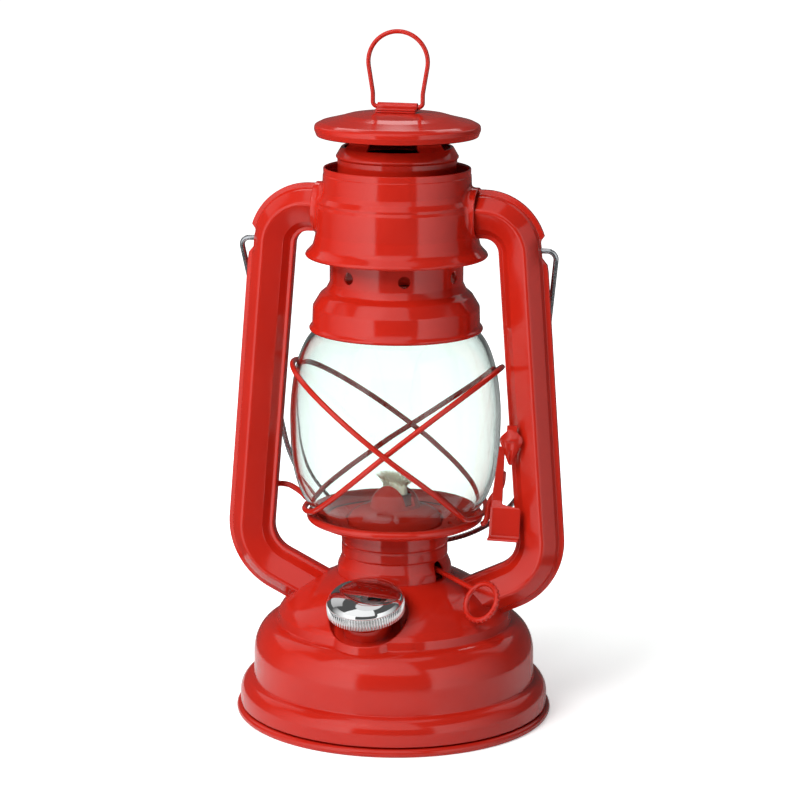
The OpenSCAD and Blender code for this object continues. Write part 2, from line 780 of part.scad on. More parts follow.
// Spade-shaped guide on the right tube
guide_t = 0.8;
spade_y = lever_y - lever_t - 0.35;
spade_z = rim_z + 22.8;
spade_x = tube_x(spade_z) - tube_w / 2 + 0.4;
module lever_guide() {
    color(red) difference() {
        union() {
            translate([0, spade_y, 0]) rotate([90, 0, 0]) linear_extrude(guide_t) difference() {
                translate([spade_x, spade_z]) polygon([[-0.4, 0], [0.6, 0], [4.6, 7.6], [4.6, 9.6], [2.6, 11.2],
                    [2.6, 14.3], [-1.2, 14.3], [-1.2, 11.2], [-3.6, 9.6], [-3.6, 7.8]]);
                translate([spade_x, spade_z]) polygon([[0.3, 3], [1.8, 8], [-1.2, 8]]);
            }
            translate([spade_x + 1.8, spade_y - 0.1, spade_z + 8.4]) cube([2.8, -spade_y, 2]);
            translate([spade_x + 1.6, spade_y - 0.1, spade_z + 11]) cube([1, -spade_y, 3.3]);
        }
        tube_run(0);
    }
}

// Hood
bell_roll = 0.8;
bell_line = concat([[bell_r + 0.2, bell_z + 0.4], [bell_r, bell_z + 2.4]],
    bow([bell_r, bell_z + 8], [bell_neck + 0.75, bell_z + 14.6], 0.7, 5),
    [[bell_neck, bell_z + 16.4], [bell_neck, flange_z]]);
vent_up = 20.3;
vent_turn = -70;
module hood_bell() {
    color(red) difference() {
        rotate_extrude() {
            sheet_of(bell_line, hood_t);
            translate([bell_r + 0.45, bell_z]) circle(bell_roll);
            translate([chimney_r, flange_z - hood_t]) square([bell_neck - chimney_r, hood_t]);
        }
        for (i = [1:vents]) rotate([0, 0, vent_turn + i * 360 / vents])
            translate([bell_neck - 3, 0, bell_z + vent_up]) rotate([0, 90, 0]) cylinder(d = vent_d, h = 6);
    }
}

chimney_t = 0.6;
chimney_in = 3;
module chimney_tube() {
    color(red) translate([0, 0, flange_z - chimney_in]) difference() {
        cylinder(r = chimney_r, h = crown_z + 0.6 - flange_z + chimney_in);
        translate([0, 0, -1]) cylinder(r = chimney_r - chimney_t, h = 80);
    }
}

wall_r = 18;
crown_top = canopy_top - 2.1;
crown_line = [[crown_r, crown_z], [crown_r - 1, crown_z + 2.3], [crown_r - 1.8, crown_z + 3.8],
    [wall_r + 0.5, crown_z + 5.3], [wall_r, crown_z + 6.6], [wall_r, crown_top]];
window_z = 4;
window_turn = -82;
module crown() {
    color(red) difference() {
        rotate_extrude() {
            sheet_of(crown_line, hood_t);
            translate([chimney_r, crown_z]) square([crown_r - chimney_r - 0.4, 0.6]);
        }
        for (i = [0:3]) rotate([0, 0, window_turn - window / 2 + 90 * i]) translate([0, 0, crown_z + window_z])
            rotate_extrude(angle = window) translate([wall_r - 3, 0]) square([8, crown_top - crown_z - window_z - 2.6]);
    }
}

canopy_line = concat([[canopy_r - 0.85, canopy_z], [canopy_r - 0.1, canopy_z + 2], [canopy_r, canopy_z + 3],
    [canopy_r - 0.6, canopy_z + 3.8]],
    bow([canopy_r - 1.75, canopy_z + 4.35], [21, canopy_top - 2.1], 0.3, 3),
    bow([20.2, canopy_top - 1.6], [9, canopy_top], 0.35, 4), [[0, canopy_top]]);
module canopy() {
    color(red) rotate_extrude() sheet_of(canopy_line, hood_t);
}

strap_t = 0.7;
hinge_z = canopy_top + strap_t + 1.1;
module ring_strap() {
    color(red) difference() {
        union() {
            translate([-strap_l / 2, -4.2, canopy_top]) cube([strap_l, 6.4, strap_t]);
            translate([-strap_l / 2, 0, hinge_z]) rotate([0, 90, 0]) cylinder(r = ring_wire + 0.75, h = strap_l);
        }
        translate([-strap_l / 2 - 1, 0, hinge_z]) rotate([0, 90, 0]) cylinder(r = ring_wire + fit, h = strap_l + 2);
    }
}

ring_foot = strap_l / 2 + 0.2;
ring_corner = 1.6;
ring_neck = 2.4;
ring_waist = 8;
ring_in = ring_foot + ring_corner + ring_waist;
ring_up = ring_h - ring_r - ring_corner - ring_neck;
ring_slim = atan2(ring_up, ring_in) - acos((ring_r + ring_waist) / norm([ring_in, ring_up]));
ring_side = ring_up * cos(ring_slim) - ring_in * sin(ring_slim);
module lifting_ring() {
    color(red) translate([-ring_foot, 0, hinge_z]) rotate([0, 90, 0])
        wire([[2 * ring_foot, -90, ring_corner], [ring_neck, ring_slim, ring_waist],
            [ring_side, -180 - 2 * ring_slim, ring_r], [ring_side, ring_slim, ring_waist],
            [ring_neck, -90, ring_corner]], ring_wire, closed = true);
}

// Coil spring between the bell's flange and the baffle, one unbroken tube of triangles
coil_r = 20;
coil_rings = 8;
coil_sides = 6;
coil_low = flange_z + spring_d / 2 + 0.1;
coil_high = baffle_z - spring_d / 2 - 0.1;
coil_n = spring_coils * coil_rings;
function coil_at(i) = [coil_r * cos(360 * i / coil_rings), coil_r * sin(360 * i / coil_rings),
    coil_low + (coil_high - coil_low) * i / coil_n];
coil_gap = min([for (i = [0:coil_n], j = [i + coil_rings / 2:1:coil_n]) norm(coil_at(i) - coil_at(j))]) - spring_d;
echo(least_gap_of_the_spring_to_itself = coil_gap);
module hood_spring() {
    s = coil_sides;
    rings = [for (i = [0:coil_n], k = [0:s - 1])
        let (out = coil_at(i) - [0, 0, coil_at(i)[2]], a = 360 * k / s)
        coil_at(i) + spring_d / 2 * (cos(a) * out / coil_r + [0, 0, sin(a)])];
    walls = [for (i = [0:coil_n - 1], k = [0:s - 1]) let (n = (k + 1) % s)
        each [[i * s + k, i * s + n, (i + 1) * s + k], [i * s + n, (i + 1) * s + n, (i + 1) * s + k]]];
    ends = [for (k = [1:s - 2]) each [[0, k + 1, k], [coil_n * s, coil_n * s + k, coil_n * s + k + 1]]];
    color(steel) polyhedron(rings, concat(walls, ends));
}

// Bail, a wire bow whose ends turn into the two ears
bail_x = ear_x + ear_out + 2.4;
bail_slant = acos(bail_bow / norm([bail_x, bail_drop])) - atan2(bail_drop, bail_x);
bail_leg = bail_drop * cos(bail_slant) + bail_x * sin(bail_slant);
bail_bend = 2.2;
bail_in = 3.2;
bail_cut = bail_bend * tan((90 + bail_slant) / 2);
module bail() {
    color(steel) translate([0, 0, ear_z]) rotate([bail_lean, 0, 0]) translate([ear_x - bail_in, 0, 0]) rotate([0, 90, 0])
        wire([[bail_x - ear_x + bail_in - bail_cut, 90 + bail_slant, bail_bend],
            [bail_leg - bail_cut, 180 - 2 * bail_slant, bail_bow],
            [bail_leg - bail_cut, 90 + bail_slant, bail_bend],
            [bail_x - ear_x + bail_in - bail_cut, 0, 0]], bail_wire);
}

tank_bottom();
tank_shell();
filler_neck();
filler_gasket();
filler_cap();
burner_collar();
burner_base();
wick_tube();
wick();
wick_shaft();
wick_wheels();
burner_cone();
left_tube();
right_tube();
air_chamber();
chamber_baffle();
lever_guide();
globe_plate();
globe();
inner_hoop();
outer_hoop();
guide_arm();
lift_arm();
lift_lever();
hood_bell();
chimney_tube();
hood_spring();
crown();
canopy();
ring_strap();
lifting_ring();
bail();
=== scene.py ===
import math

import bmesh
import bpy
import numpy as np
from mathutils import Matrix, Vector
from mathutils.geometry import delaunay_2d_cdt


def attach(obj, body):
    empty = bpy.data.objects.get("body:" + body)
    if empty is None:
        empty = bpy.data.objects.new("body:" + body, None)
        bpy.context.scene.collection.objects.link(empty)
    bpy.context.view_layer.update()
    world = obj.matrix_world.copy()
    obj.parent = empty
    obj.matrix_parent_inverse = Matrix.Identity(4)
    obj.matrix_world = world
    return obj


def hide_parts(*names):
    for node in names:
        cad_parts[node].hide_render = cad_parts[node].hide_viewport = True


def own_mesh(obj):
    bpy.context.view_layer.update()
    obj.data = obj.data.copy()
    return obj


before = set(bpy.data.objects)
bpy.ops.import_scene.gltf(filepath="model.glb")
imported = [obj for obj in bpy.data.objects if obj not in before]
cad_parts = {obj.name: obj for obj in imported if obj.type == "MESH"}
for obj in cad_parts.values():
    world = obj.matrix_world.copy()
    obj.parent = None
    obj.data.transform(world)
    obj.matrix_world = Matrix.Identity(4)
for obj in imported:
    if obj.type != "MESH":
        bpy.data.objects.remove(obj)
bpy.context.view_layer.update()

# Tank bottom
# A steel pan whose edge is rolled with the tank's lower edge into a round bead.
# The lantern stands on the bead. Pan and tank are sprayed with the same red enamel.
MM = 0.001


def linear(colour):
    """An sRGB hex colour as linear red, green, blue and alpha."""
    parts = [int(colour[i:i + 2], 16) / 255 for i in (0, 2, 4)]
    return [c / 12.92 if c <= 0.04045 else ((c + 0.055) / 1.055) ** 2.4 for c in parts] + [1]


def add_node(tree, kind, inputs=None, **settings):
    """A node with its settings, and its inputs set or linked."""
    node = tree.nodes.new(kind)
    for key, value in settings.items():
        setattr(node, key, value)
    for key, value in (inputs or {}).items():
        if isinstance(value, bpy.types.NodeSocket):
            tree.links.new(value, node.inputs[key])
        else:
            node.inputs[key].default_value = value
    return node


def emptied(owner):
    """The node tree of a new material or world, with nothing in it."""
    owner.use_nodes = True
    owner.node_tree.nodes.clear()
    return owner.node_tree


def sprayed_enamel(name, colour, deep):
    """Stoving enamel on pressed steel: glossy, with a fine orange peel, the slow waves of the
    pressed sheet under it and a slightly uneven coat."""
    made = bpy.data.materials.new(name)
    tree = emptied(made)
    place = add_node(tree, "ShaderNodeTexCoord").outputs["Object"]
    peel_mm, wave_mm, cloud_mm = 1.3, 11, 24
    peel, wave, cloud = (
        add_node(tree, "ShaderNodeTexNoise",
                 {"Vector": place, "Scale": 1000 / size, "Detail": detail}).outputs["Fac"]
        for size, detail in ((peel_mm, 1.5), (wave_mm, 1.0), (cloud_mm, 5.0)))
    tint = add_node(tree, "ShaderNodeMix", {"Factor": cloud, "A": linear(deep), "B": linear(colour)},
                    data_type="RGBA")
    gloss = add_node(tree, "ShaderNodeMapRange",
                     {"Value": cloud, "From Min": 0.3, "From Max": 0.7, "To Min": 0.1, "To Max": 0.16})
    slow = add_node(tree, "ShaderNodeBump", {"Height": wave, "Distance": 0.00002, "Strength": 1.0})
    fine = add_node(tree, "ShaderNodeBump", {"Height": peel, "Distance": 0.000004, "Strength": 1.0,
                                             "Normal": slow.outputs["Normal"]})
    skin = add_node(tree, "ShaderNodeBsdfPrincipled",
                    {"Base Color": tint.outputs["Result"], "Roughness": gloss.outputs["Result"], "IOR": 1.5,
                     "Normal": fine.outputs["Normal"]})
    add_node(tree, "ShaderNodeOutputMaterial", {"Surface": skin.outputs["BSDF"]})
    return made


enamel = sprayed_enamel("red_stoving_enamel", "CC2717", "BC1F12")


def plain(name, verts, faces, finish=None):
    """A mesh object from points in millimetres."""
    mesh = bpy.data.meshes.new(name)
    mesh.from_pydata([tuple(float(c) * MM for c in v) for v in verts], [], faces)
    if finish:
        mesh.materials.append(finish)
    made = bpy.data.objects.new(name, mesh)
    bpy.context.scene.collection.objects.link(made)
    return made


def smooth(mesh, crease):
    """Shades a mesh smooth; edges over crease degrees stay sharp."""
    mesh.shade_smooth()
    mesh.set_sharp_from_angle(angle=math.radians(crease))


def settle(made, body, node=None):
    """Puts a piece on its body and hides the CAD node that it stands for."""
    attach(made, body)
    if node:
        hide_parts(node)


def piece(name, verts, faces, body, finish, node, slot="red_enamel", crease=38):
    """A finished piece from points in millimetres, which stands for a CAD node."""
    made = plain(name, verts, faces, finish)
    smooth(made.data, crease)
    settle(made, body, node)
    return made


def arc(centre, a, b, start, end, steps):
    """Points on an elliptic arc, angles in degrees."""
    turn = np.radians(np.linspace(start, end, steps + 1))
    return np.column_stack([centre[0] + a * np.cos(turn), centre[1] + b * np.sin(turn)])


def lathe(line, turns=160, closed=False):
    """Points and faces of a profile of (radius, height) turned round the Z axis."""
    angles = [2 * math.pi * k / turns for k in range(turns)]
    verts, rows, faces = [], [], []
    for r, z in line:
        if r < 1e-6:
            rows.append([len(verts)] * turns)
            verts.append((0, 0, z))
        else:
            rows.append(list(range(len(verts), len(verts) + turns)))
            verts += [(r * math.cos(a), r * math.sin(a), z) for a in angles]
    for low, high in zip(rows, rows[1:] + rows[:1] if closed else rows[1:]):
        for k in range(turns):
            n = (k + 1) % turns
            face = list(dict.fromkeys([low[k], low[n], high[n], high[k]]))
            if len(face) > 2:
                faces.append(face)
    return verts, faces


rim_mid, bead, pan_low, pan_t = 56.0, 1.5, 1.3, 0.8
pan_r = rim_mid - bead - 2
bead_line = arc((rim_mid, pan_low), bead, bead, 202, 510, 36)
bead_line[:, 1] = np.clip(bead_line[:, 1], 0, None)
pan_line = np.vstack([[[0, pan_low], [pan_r, pan_low]], bead_line[:-1],
                      [[pan_r, pan_low + pan_t], [0, pan_low + pan_t]]])
piece("tank_bottom_pan", *lathe(pan_line, 240), "frame", enamel, "tank_bottom")

# Tank
# Drawn sheet steel: a bulged foot, an upright tier with a rolled shoulder, a short band and a shallow dome.
# A round pocket is pressed into the shoulder for the filler, so its floor breaks through the band in front.


def rounded(points, steps=6):
    """A line through (r, z) points; a third number rounds that corner with that radius."""
    line = []
    for i, point in enumerate(points):
        here = np.array(point[:2], float)
        if len(point) < 3 or i in (0, len(points) - 1):
            line.append(here)
            continue
        back, on = np.array(points[i - 1][:2]) - here, np.array(points[i + 1][:2]) - here
        to_back, to_on = np.linalg.norm(back), np.linalg.norm(on)
        back, on = back / to_back, on / to_on
        half = math.acos(np.clip(back @ on, -1, 1)) / 2
        cut = min(point[2] / math.tan(half), 0.49 * to_back, 0.49 * to_on)
        for t in np.linspace(0, 1, steps + 1):
            line.append(here + back * cut * (1 - t) ** 2 + on * cut * t ** 2)
    return np.array(line)


def bowed(start, end, sag, steps):
    """Points from start to end on a line that bows out to its right."""
    start, end = np.array(start, float), np.array(end, float)
    t = np.linspace(0, 1, steps + 1)[:, None]
    along = (end - start) / np.linalg.norm(end - start)
    return start + (end - start) * t + np.array([along[1], -along[0]]) * sag * 4 * t * (1 - t)


def meet(points, axis, radius_at, low, high):
    """How far along axis each point's line leaves a turned surface, from low inside it to high outside."""
    low, high = np.full(len(points), float(low)), np.full(len(points), float(high))
    for _ in range(40):
        mid = (low + high) / 2
        at = points + mid[:, None] * axis
        out = np.hypot(at[:, 0], at[:, 1]) > radius_at(at[:, 2])
        low, high = np.where(out, low, mid), np.where(out, mid, high)
    return (low + high) / 2


def grid_faces(rows, count, loop=False, ring=False):
    """Faces between rows of count points; loop joins each row's ends, ring the last row to the first."""
    return [[i * count + k, i * count + (k + 1) % count,
             (i + 1) % rows * count + (k + 1) % count, (i + 1) % rows * count + k]
            for i in range(rows if ring else rows - 1) for k in range(count if loop else count - 1)]


def let_in(line, turns, rows, gives_way, across, up):
    """A turned surface with rows of another form let into it; the last row lies on the turned surface.
    gives_way tells which of its points go; across and up span the plane that the join is laid out in."""
    verts, faces = lathe(line, turns)
    own = np.array(verts)
    gone = gives_way(own)
    kept = [f for f in faces if not gone[f].any()]
    lost = [f for f in faces if gone[f].any()]
    rims = [{tuple(sorted(e)) for f in part for e in zip(f, f[1:] + f[:1])} for part in (kept, lost)]
    rim = sorted(rims[0] & rims[1])
    used = sorted({i for e in rim for i in e})
    count, ring = len(rows[0]), len(used)
    both = np.vstack([own[used], rows[-1]])
    edges = [(used.index(a), used.index(b)) for a, b in rim]
    edges += [(ring + k, ring + (k + 1) % count) for k in range(count)]
    laid = delaunay_2d_cdt([Vector((p @ across, p @ up)) for p in both], edges, [], 1, 1e-7)
    first = len(verts)
    last_row = first + (len(rows) - 1) * count
    source = [o[0] for o in laid[3]]
    target = [used[s] if s < ring else last_row + s - ring for s in source]
    stitch = [[target[i] for i in f] for f in laid[2] if any(source[i] < ring for i in f)]
    inset = [[first + i for i in (a, d, c, b)] for a, b, c, d in grid_faces(len(rows), count, True)]
    return np.vstack([own] + list(rows)), kept + stitch + inset


seam_z = pan_low + bead
dome_z, edge_z, dome_r = 51.6, 38.2, 20.6
foot_wall = rounded([(54.7, seam_z - 0.65), (54.8, seam_z + 0.2, 0.1), (56.1, seam_z + 0.65, 0.2), (56.1, 7)])
bulge = arc((51.1, 7), 5.0, 6, 6, 78, 14)
shoulder = arc((42.2, 22), 8.9, 12, 4, 80, 18)
tank_line = np.vstack([
    foot_wall, bulge, rounded([bulge[-1], (51.3, 13.05, 1.1), (51.1, 18)])[1:], [[51.1, 20.4]], shoulder,
    rounded([shoulder[-1], (42.5, 34.0, 0.8), (42.1, 37.2, 0.9), (39.9, 39.7)])[1:-1],
    bowed((41.0, 38.85), (dome_r, dome_z), 1.25, 16)])
tank_line = tank_line[np.concatenate([[True], np.diff(tank_line[:, 1]) > 1e-4])]


def tank_radius(z):
    """The tank's radius at a height."""
    return np.interp(z, tank_line[:, 1], tank_line[:, 0], right=0)


filler_foot = np.array([-1.71662, -32.75506, 38.8])
filler_up = np.array([-0.013546, -0.258464, 0.965926])
filler_side = np.array([math.cos(math.radians(3)), -math.sin(math.radians(3)), 0])
filler_back = np.cross(filler_up, filler_side)
pocket_floor, pocket_mouth, pocket_flare, pocket_rim, pocket_out = 12.0, 14.9, 5.4, 1.1, 19.5
swell_r, swell_fall, swell_soft, floor_in = 12.75, 4.0, 0.9, 8.2
floor_fillet, lip_deep, lip_wide = 0.5, 0.45, 0.6
spokes = 360
around = np.linspace(0, 2 * math.pi, spokes + 1)[:-1]
spoke = np.outer(np.cos(around), filler_side) + np.outer(np.sin(around), filler_back)


def larger(a, b, soft):
    """The larger of two heights, with a smooth change from one to the other."""
    h = np.clip(0.5 + 0.5 * (a - b) / soft, 0, 1)
    return a * h + b * (1 - h) + soft * h * (1 - h)


def skin_over_floor(r):
    """Height of the tank's skin over the pocket's floor, at radius r all round the filler: the tank's own
    surface, or in front the swelling that carries the pocket's rim."""
    r = np.broadcast_to(np.asarray(r, float), around.shape)
    own = meet(filler_foot + spoke * r[:, None], filler_up, tank_radius, -13, 26)
    return larger(own, pocket_rim - swell_fall * larger(r - swell_r, 0 * r, 0.7), swell_soft)


def pocket_wall(height):
    """Radius of the pocket's flared wall at a height over its floor."""
    flare = (pocket_mouth - pocket_floor) / pocket_flare
    return (pocket_floor + flare * np.minimum(height, pocket_flare)
            + 0.02 * np.maximum(height - pocket_flare, 0))


def pocket_row(r, height):
    """A row of points round the filler, at a radius and a height over the pocket's floor."""
    out = spoke * np.broadcast_to(r, around.shape)[:, None]
    return filler_foot + out + np.outer(height * np.ones(spokes), filler_up)


def eased(start, mid, end, t):
    """A curve from start to end that heads for mid."""
    return start * (1 - t) ** 2 + mid * 2 * t * (1 - t) + end * t * t


low, high = np.full(spokes, pocket_floor), np.full(spokes, pocket_mouth + 0.3)
for _ in range(30):
    rim_r = (low + high) / 2
    inside = pocket_wall(skin_over_floor(rim_r)) > rim_r
    low, high = np.where(inside, rim_r, low), np.where(inside, high, rim_r)
rim_h = skin_over_floor(rim_r)
lip_r = rim_r + lip_wide
lip_h = skin_over_floor(lip_r)
wall_h = rim_h - lip_deep
pocket = [pocket_row(r, 0.0) for r in np.linspace(floor_in, pocket_floor - floor_fillet, 8)]
for t in np.linspace(0, 1, 7)[1:]:
    step_in = pocket_floor - floor_fillet * (1 - t) ** 2
    step_out = (pocket_wall(floor_fillet) - pocket_floor) * t * t
    pocket.append(pocket_row(step_in + step_out, floor_fillet * t * t))
for t in np.linspace(0, 1, 9)[1:]:
    h = floor_fillet + (wall_h - floor_fillet) * t
    pocket.append(pocket_row(pocket_wall(h), h))
for t in np.linspace(0, 1, 9)[1:]:
    pocket.append(pocket_row(eased(pocket_wall(wall_h), rim_r, lip_r, t), eased(wall_h, rim_h, lip_h, t)))
for t in np.linspace(0, 1, 19)[1:]:
    r = lip_r + (pocket_out - lip_r) * t
    pocket.append(pocket_row(r, skin_over_floor(r)))


def over_pocket(points):
    """Which points of the tank lie where the pocket is pressed in."""
    away = points - filler_foot
    up = away @ filler_up
    return (np.linalg.norm(away - np.outer(up, filler_up), axis=1) < pocket_out + 0.5) & (up > -14)


flat_top = [(r, dome_z) for r in np.linspace(dome_r, 13.2, 6)[1:]]
tank_skin = let_in(np.vstack([tank_line, flat_top]), 288, pocket, over_pocket, filler_side, filler_back)
piece("tank_skin", *tank_skin, "frame", enamel, "tank_shell")

# Filler neck and gasket
# A short threaded steel neck soldered into the pocket, red like the tank, and a ring of black nitrile
# rubber that the cap presses on its end.
neck_r, neck_top, neck_low, neck_bore = 8.8, 10.6, -2.6, 8.0
thread_pitch, thread_deep, thread_low, thread_high = 2.0, 0.36, 3.4, 10.0
to_filler = Matrix([[*v, 0] for v in zip(filler_side, filler_back, filler_up)] + [[0, 0, 0, 1]])
to_filler.translation = Vector(filler_foot)


def placed(verts, matrix):
    """Points moved by a matrix."""
    m = np.array(matrix)
    return np.asarray(verts, float) @ m[:3, :3].T + m[:3, 3]


neck_verts, neck_faces = lathe(
    [(neck_r, z) for z in np.linspace(neck_low, neck_top - 0.25, 112)]
    + [(neck_r - 0.25, neck_top), (neck_bore + 0.15, neck_top), (neck_bore, neck_top - 0.2),
       (neck_bore, neck_low)], 96, True)
neck_verts = np.array(neck_verts)
neck_z, neck_out = neck_verts[:, 2], np.hypot(neck_verts[:, 0], neck_verts[:, 1])
phase = (neck_z / thread_pitch - np.arctan2(neck_verts[:, 1], neck_verts[:, 0]) / (2 * math.pi)) % 1
fade = np.clip((neck_z - thread_low) / 0.8, 0, 1) * np.clip((thread_high - neck_z) / 0.6, 0, 1)
groove = thread_deep * fade * np.clip(2.0 - 6.4 * np.abs(phase - 0.5), 0, 1) * (neck_out > neck_r - 0.01)
neck_verts[:, :2] *= (1 - groove / np.maximum(neck_out, 1))[:, None]
piece("filler_neck_threaded", placed(neck_verts, to_filler), neck_faces, "frame", enamel, "filler_neck")


def moulded_rubber(name, colour, deep):
    """Black nitrile rubber, moulded: matt, with a faint grain."""
    made = bpy.data.materials.new(name)
    tree = emptied(made)
    place = add_node(tree, "ShaderNodeTexCoord").outputs["Object"]
    grain_mm = 0.6
    grain = add_node(tree, "ShaderNodeTexNoise", {"Vector": place, "Scale": 1000 / grain_mm, "Detail": 3.0})
    tint = add_node(tree, "ShaderNodeMix",
                    {"Factor": grain.outputs["Fac"], "A": linear(deep), "B": linear(colour)},
                    data_type="RGBA")
    rough = add_node(tree, "ShaderNodeBump", {"Height": grain.outputs["Fac"], "Distance": 0.00002})
    skin = add_node(tree, "ShaderNodeBsdfPrincipled",
                    {"Base Color": tint.outputs["Result"], "Roughness": 0.7, "IOR": 1.52,
                     "Normal": rough.outputs["Normal"]})
    add_node(tree, "ShaderNodeOutputMaterial", {"Surface": skin.outputs["BSDF"]})
    return made


gasket_line = rounded([(7.5, 10.7), (8.7, 10.7, 0.25), (8.7, 11.9, 0.25), (6.8, 11.9, 0.25),
                       (6.8, 10.7, 0.25), (7.4, 10.7)])
gasket_verts, gasket_faces = lathe(gasket_line, 64, True)
rubber = moulded_rubber("black_nitrile_rubber", "242424", "141414")
piece("filler_gasket_ring", placed(gasket_verts, to_filler), gasket_faces, "cap_seal", rubber,
      "filler_gasket", "black_rubber")

# Filler cap
# Pressed steel, nickel and chrome plated: a smooth dome over a band of upright knurls for the fingers,
# with a threaded sleeve inside that runs on the neck.


def polished_plate(name, colour, low, high, smear_mm):
    """Bright plating on steel: a sharp mirror with faint smears, and no colour of its own but a grey."""
    made = bpy.data.materials.new(name)
    tree = emptied(made)
    place = add_node(tree, "ShaderNodeTexCoord").outputs["Object"]
    smear = add_node(tree, "ShaderNodeTexNoise", {"Vector": place, "Scale": 1000 / smear_mm, "Detail": 4.0})
    gloss = add_node(tree, "ShaderNodeMapRange",
                     {"Value": smear.outputs["Fac"], "From Min": 0.3, "From Max": 0.75, "To Min": low,
                      "To Max": high})
    ripple = add_node(tree, "ShaderNodeBump", {"Height": smear.outputs["Fac"], "Distance": 0.00001})
    skin = add_node(tree, "ShaderNodeBsdfPrincipled",
                    {"Base Color": linear(colour), "Metallic": 1.0, "Roughness": gloss.outputs["Result"],
                     "Normal": ripple.outputs["Normal"]})
    add_node(tree, "ShaderNodeOutputMaterial", {"Surface": skin.outputs["BSDF"]})
    return made


chrome = polished_plate("bright_chrome_plate", "E4E5E6", 0.03, 0.09, 4)
cap_r, cap_low, band_top, cap_rise = 14.0, 7.3, 12.0, 5.0
knurls, knurl_deep, sleeve_r, seat_r = 84, 0.75, 8.88, 7.2
band_r = cap_r - knurl_deep
cap_line = np.vstack([
    rounded([(cap_r - 1.2, cap_low + 0.25), (band_r - 0.1, cap_low, 0.2), (band_r, cap_low + 0.5, 0.2),
             (band_r, band_top - 0.3, 0.2), (cap_r - 0.45, band_top + 0.1)]),
    arc((0, band_top), cap_r - 0.4, cap_rise, 4, 90, 26)])
cap_line[-1, 0] = 0
under = [(0, band_top + cap_rise * 0.74), (seat_r, band_top + cap_rise * 0.5), (seat_r, 12.0),
         (sleeve_r, 12.0), (sleeve_r, cap_low + 0.4), (sleeve_r + 0.8, cap_low + 0.4),
         (sleeve_r + 0.8, band_top + 0.9),
         (cap_r - 1.4, band_top - 0.4), (cap_r - 1.2, cap_low + 0.25)]
cap_verts, cap_faces = lathe(np.vstack([cap_line, under]), 160)
cap = piece("filler_cap_plated", placed(cap_verts, to_filler), cap_faces, "cap", chrome, "filler_cap",
            "plated_cap")
# The knurl band's faces get a rougher plate, in a darker grey that is painted shade for the deep gaps between
# the knurls.
cap.data.materials.append(polished_plate("dulled_plate_between_knurls", "B4B8B6", 0.3, 0.5, 2))
for face in cap.data.polygons:
    x, y, z = to_filler.inverted() @ (face.center * 1000)
    face.material_index = int(math.hypot(x, y) > cap_r - 1.1 and cap_low < z < band_top - 0.2)


def new_tree(name, sockets):
    """An empty Geometry Nodes tree with a mesh going in and out and the named inputs, and those inputs."""
    tree = bpy.data.node_groups.new(name, "GeometryNodeTree")
    tree.interface.new_socket("Geometry", in_out="INPUT", socket_type="NodeSocketGeometry")
    for label, kind in sockets.items():
        tree.interface.new_socket(label, in_out="INPUT", socket_type="NodeSocket" + kind)
    tree.interface.new_socket("Geometry", in_out="OUTPUT", socket_type="NodeSocketGeometry")
    return tree, add_node(tree, "NodeGroupInput").outputs


def ring_spots(tree, count, first):
    """Points for a ring of copies, and each copy's turn round the Z axis."""
    spots = add_node(tree, "GeometryNodePoints", {"Count": count})
    index = add_node(tree, "GeometryNodeInputIndex").outputs[0]
    step = add_node(tree, "ShaderNodeMath", {0: 2 * math.pi, 1: count}, operation="DIVIDE")
    angle = add_node(tree, "ShaderNodeMath", {0: index, 1: step.outputs[0], 2: first},
                     operation="MULTIPLY_ADD")
    return spots.outputs[0], add_node(tree, "ShaderNodeCombineXYZ", {"Z": angle.outputs[0]}).outputs[0]


def copies(tree, spots, shape, turn):
    """Copies of an object's shape on points, each with its own turn, as real mesh."""
    form = add_node(tree, "GeometryNodeObjectInfo", {"Object": shape})
    put = add_node(tree, "GeometryNodeInstanceOnPoints",
                   {"Points": spots, "Instance": form.outputs["Geometry"], "Rotation": turn})
    return add_node(tree, "GeometryNodeRealizeInstances", {"Geometry": put.outputs[0]}).outputs[0]


def end_tree(tree, made, finish):
    """Gives the result its finish and sends it out."""
    done = add_node(tree, "GeometryNodeSetMaterial", {"Geometry": made, "Material": finish})
    add_node(tree, "NodeGroupOutput", {"Geometry": done.outputs[0]})
    return tree


def as_plain_mesh(made):
    """Keeps what an object's modifiers give as its own mesh."""
    bpy.context.view_layer.update()
    mesh = bpy.data.meshes.new_from_object(made.evaluated_get(bpy.context.evaluated_depsgraph_get()))
    made.modifiers.clear()
    old, made.data = made.data, mesh
    bpy.data.meshes.remove(old)
    mesh.name = made.name


def run_tree(made, tree, shape, **values):
    """Runs a tree on an object, with a shape to copy and inputs by their names, and removes the shape."""
    modifier = made.modifiers.new(tree.name, "NODES")
    modifier.node_group = tree
    for item in tree.interface.items_tree:
        if item.in_out == "INPUT" and item.name in values:
            modifier[item.identifier] = values[item.name]
        elif item.in_out == "INPUT" and item.name == "Shape":
            modifier[item.identifier] = shape
    as_plain_mesh(made)
    bpy.data.objects.remove(shape)
    return made


def ring_tree():
    """Copies of one shape in a ring round an axis, each turned to face out."""
    tree, given = new_tree("copies_in_a_ring", {"Shape": "Object", "Count": "Int", "Radius": "Float",
                                                "Finish": "Material"})
    spots, spin = ring_spots(tree, given["Count"], 0.0)
    arm = add_node(tree, "ShaderNodeCombineXYZ", {"X": given["Radius"]})
    place = add_node(tree, "ShaderNodeVectorRotate", {"Vector": arm.outputs[0], "Rotation": spin},
                     rotation_type="EULER_XYZ")
    spread = add_node(tree, "GeometryNodeSetPosition", {"Geometry": spots, "Position": place.outputs[0]})
    return end_tree(tree, copies(tree, spread.outputs[0], given["Shape"], spin), given["Finish"])


def in_metres(matrix):
    """A placing in millimetres as one in metres."""
    return Matrix([[*row[:3], row[3] * MM] for row in matrix[:3]] + [[0, 0, 0, 1]])


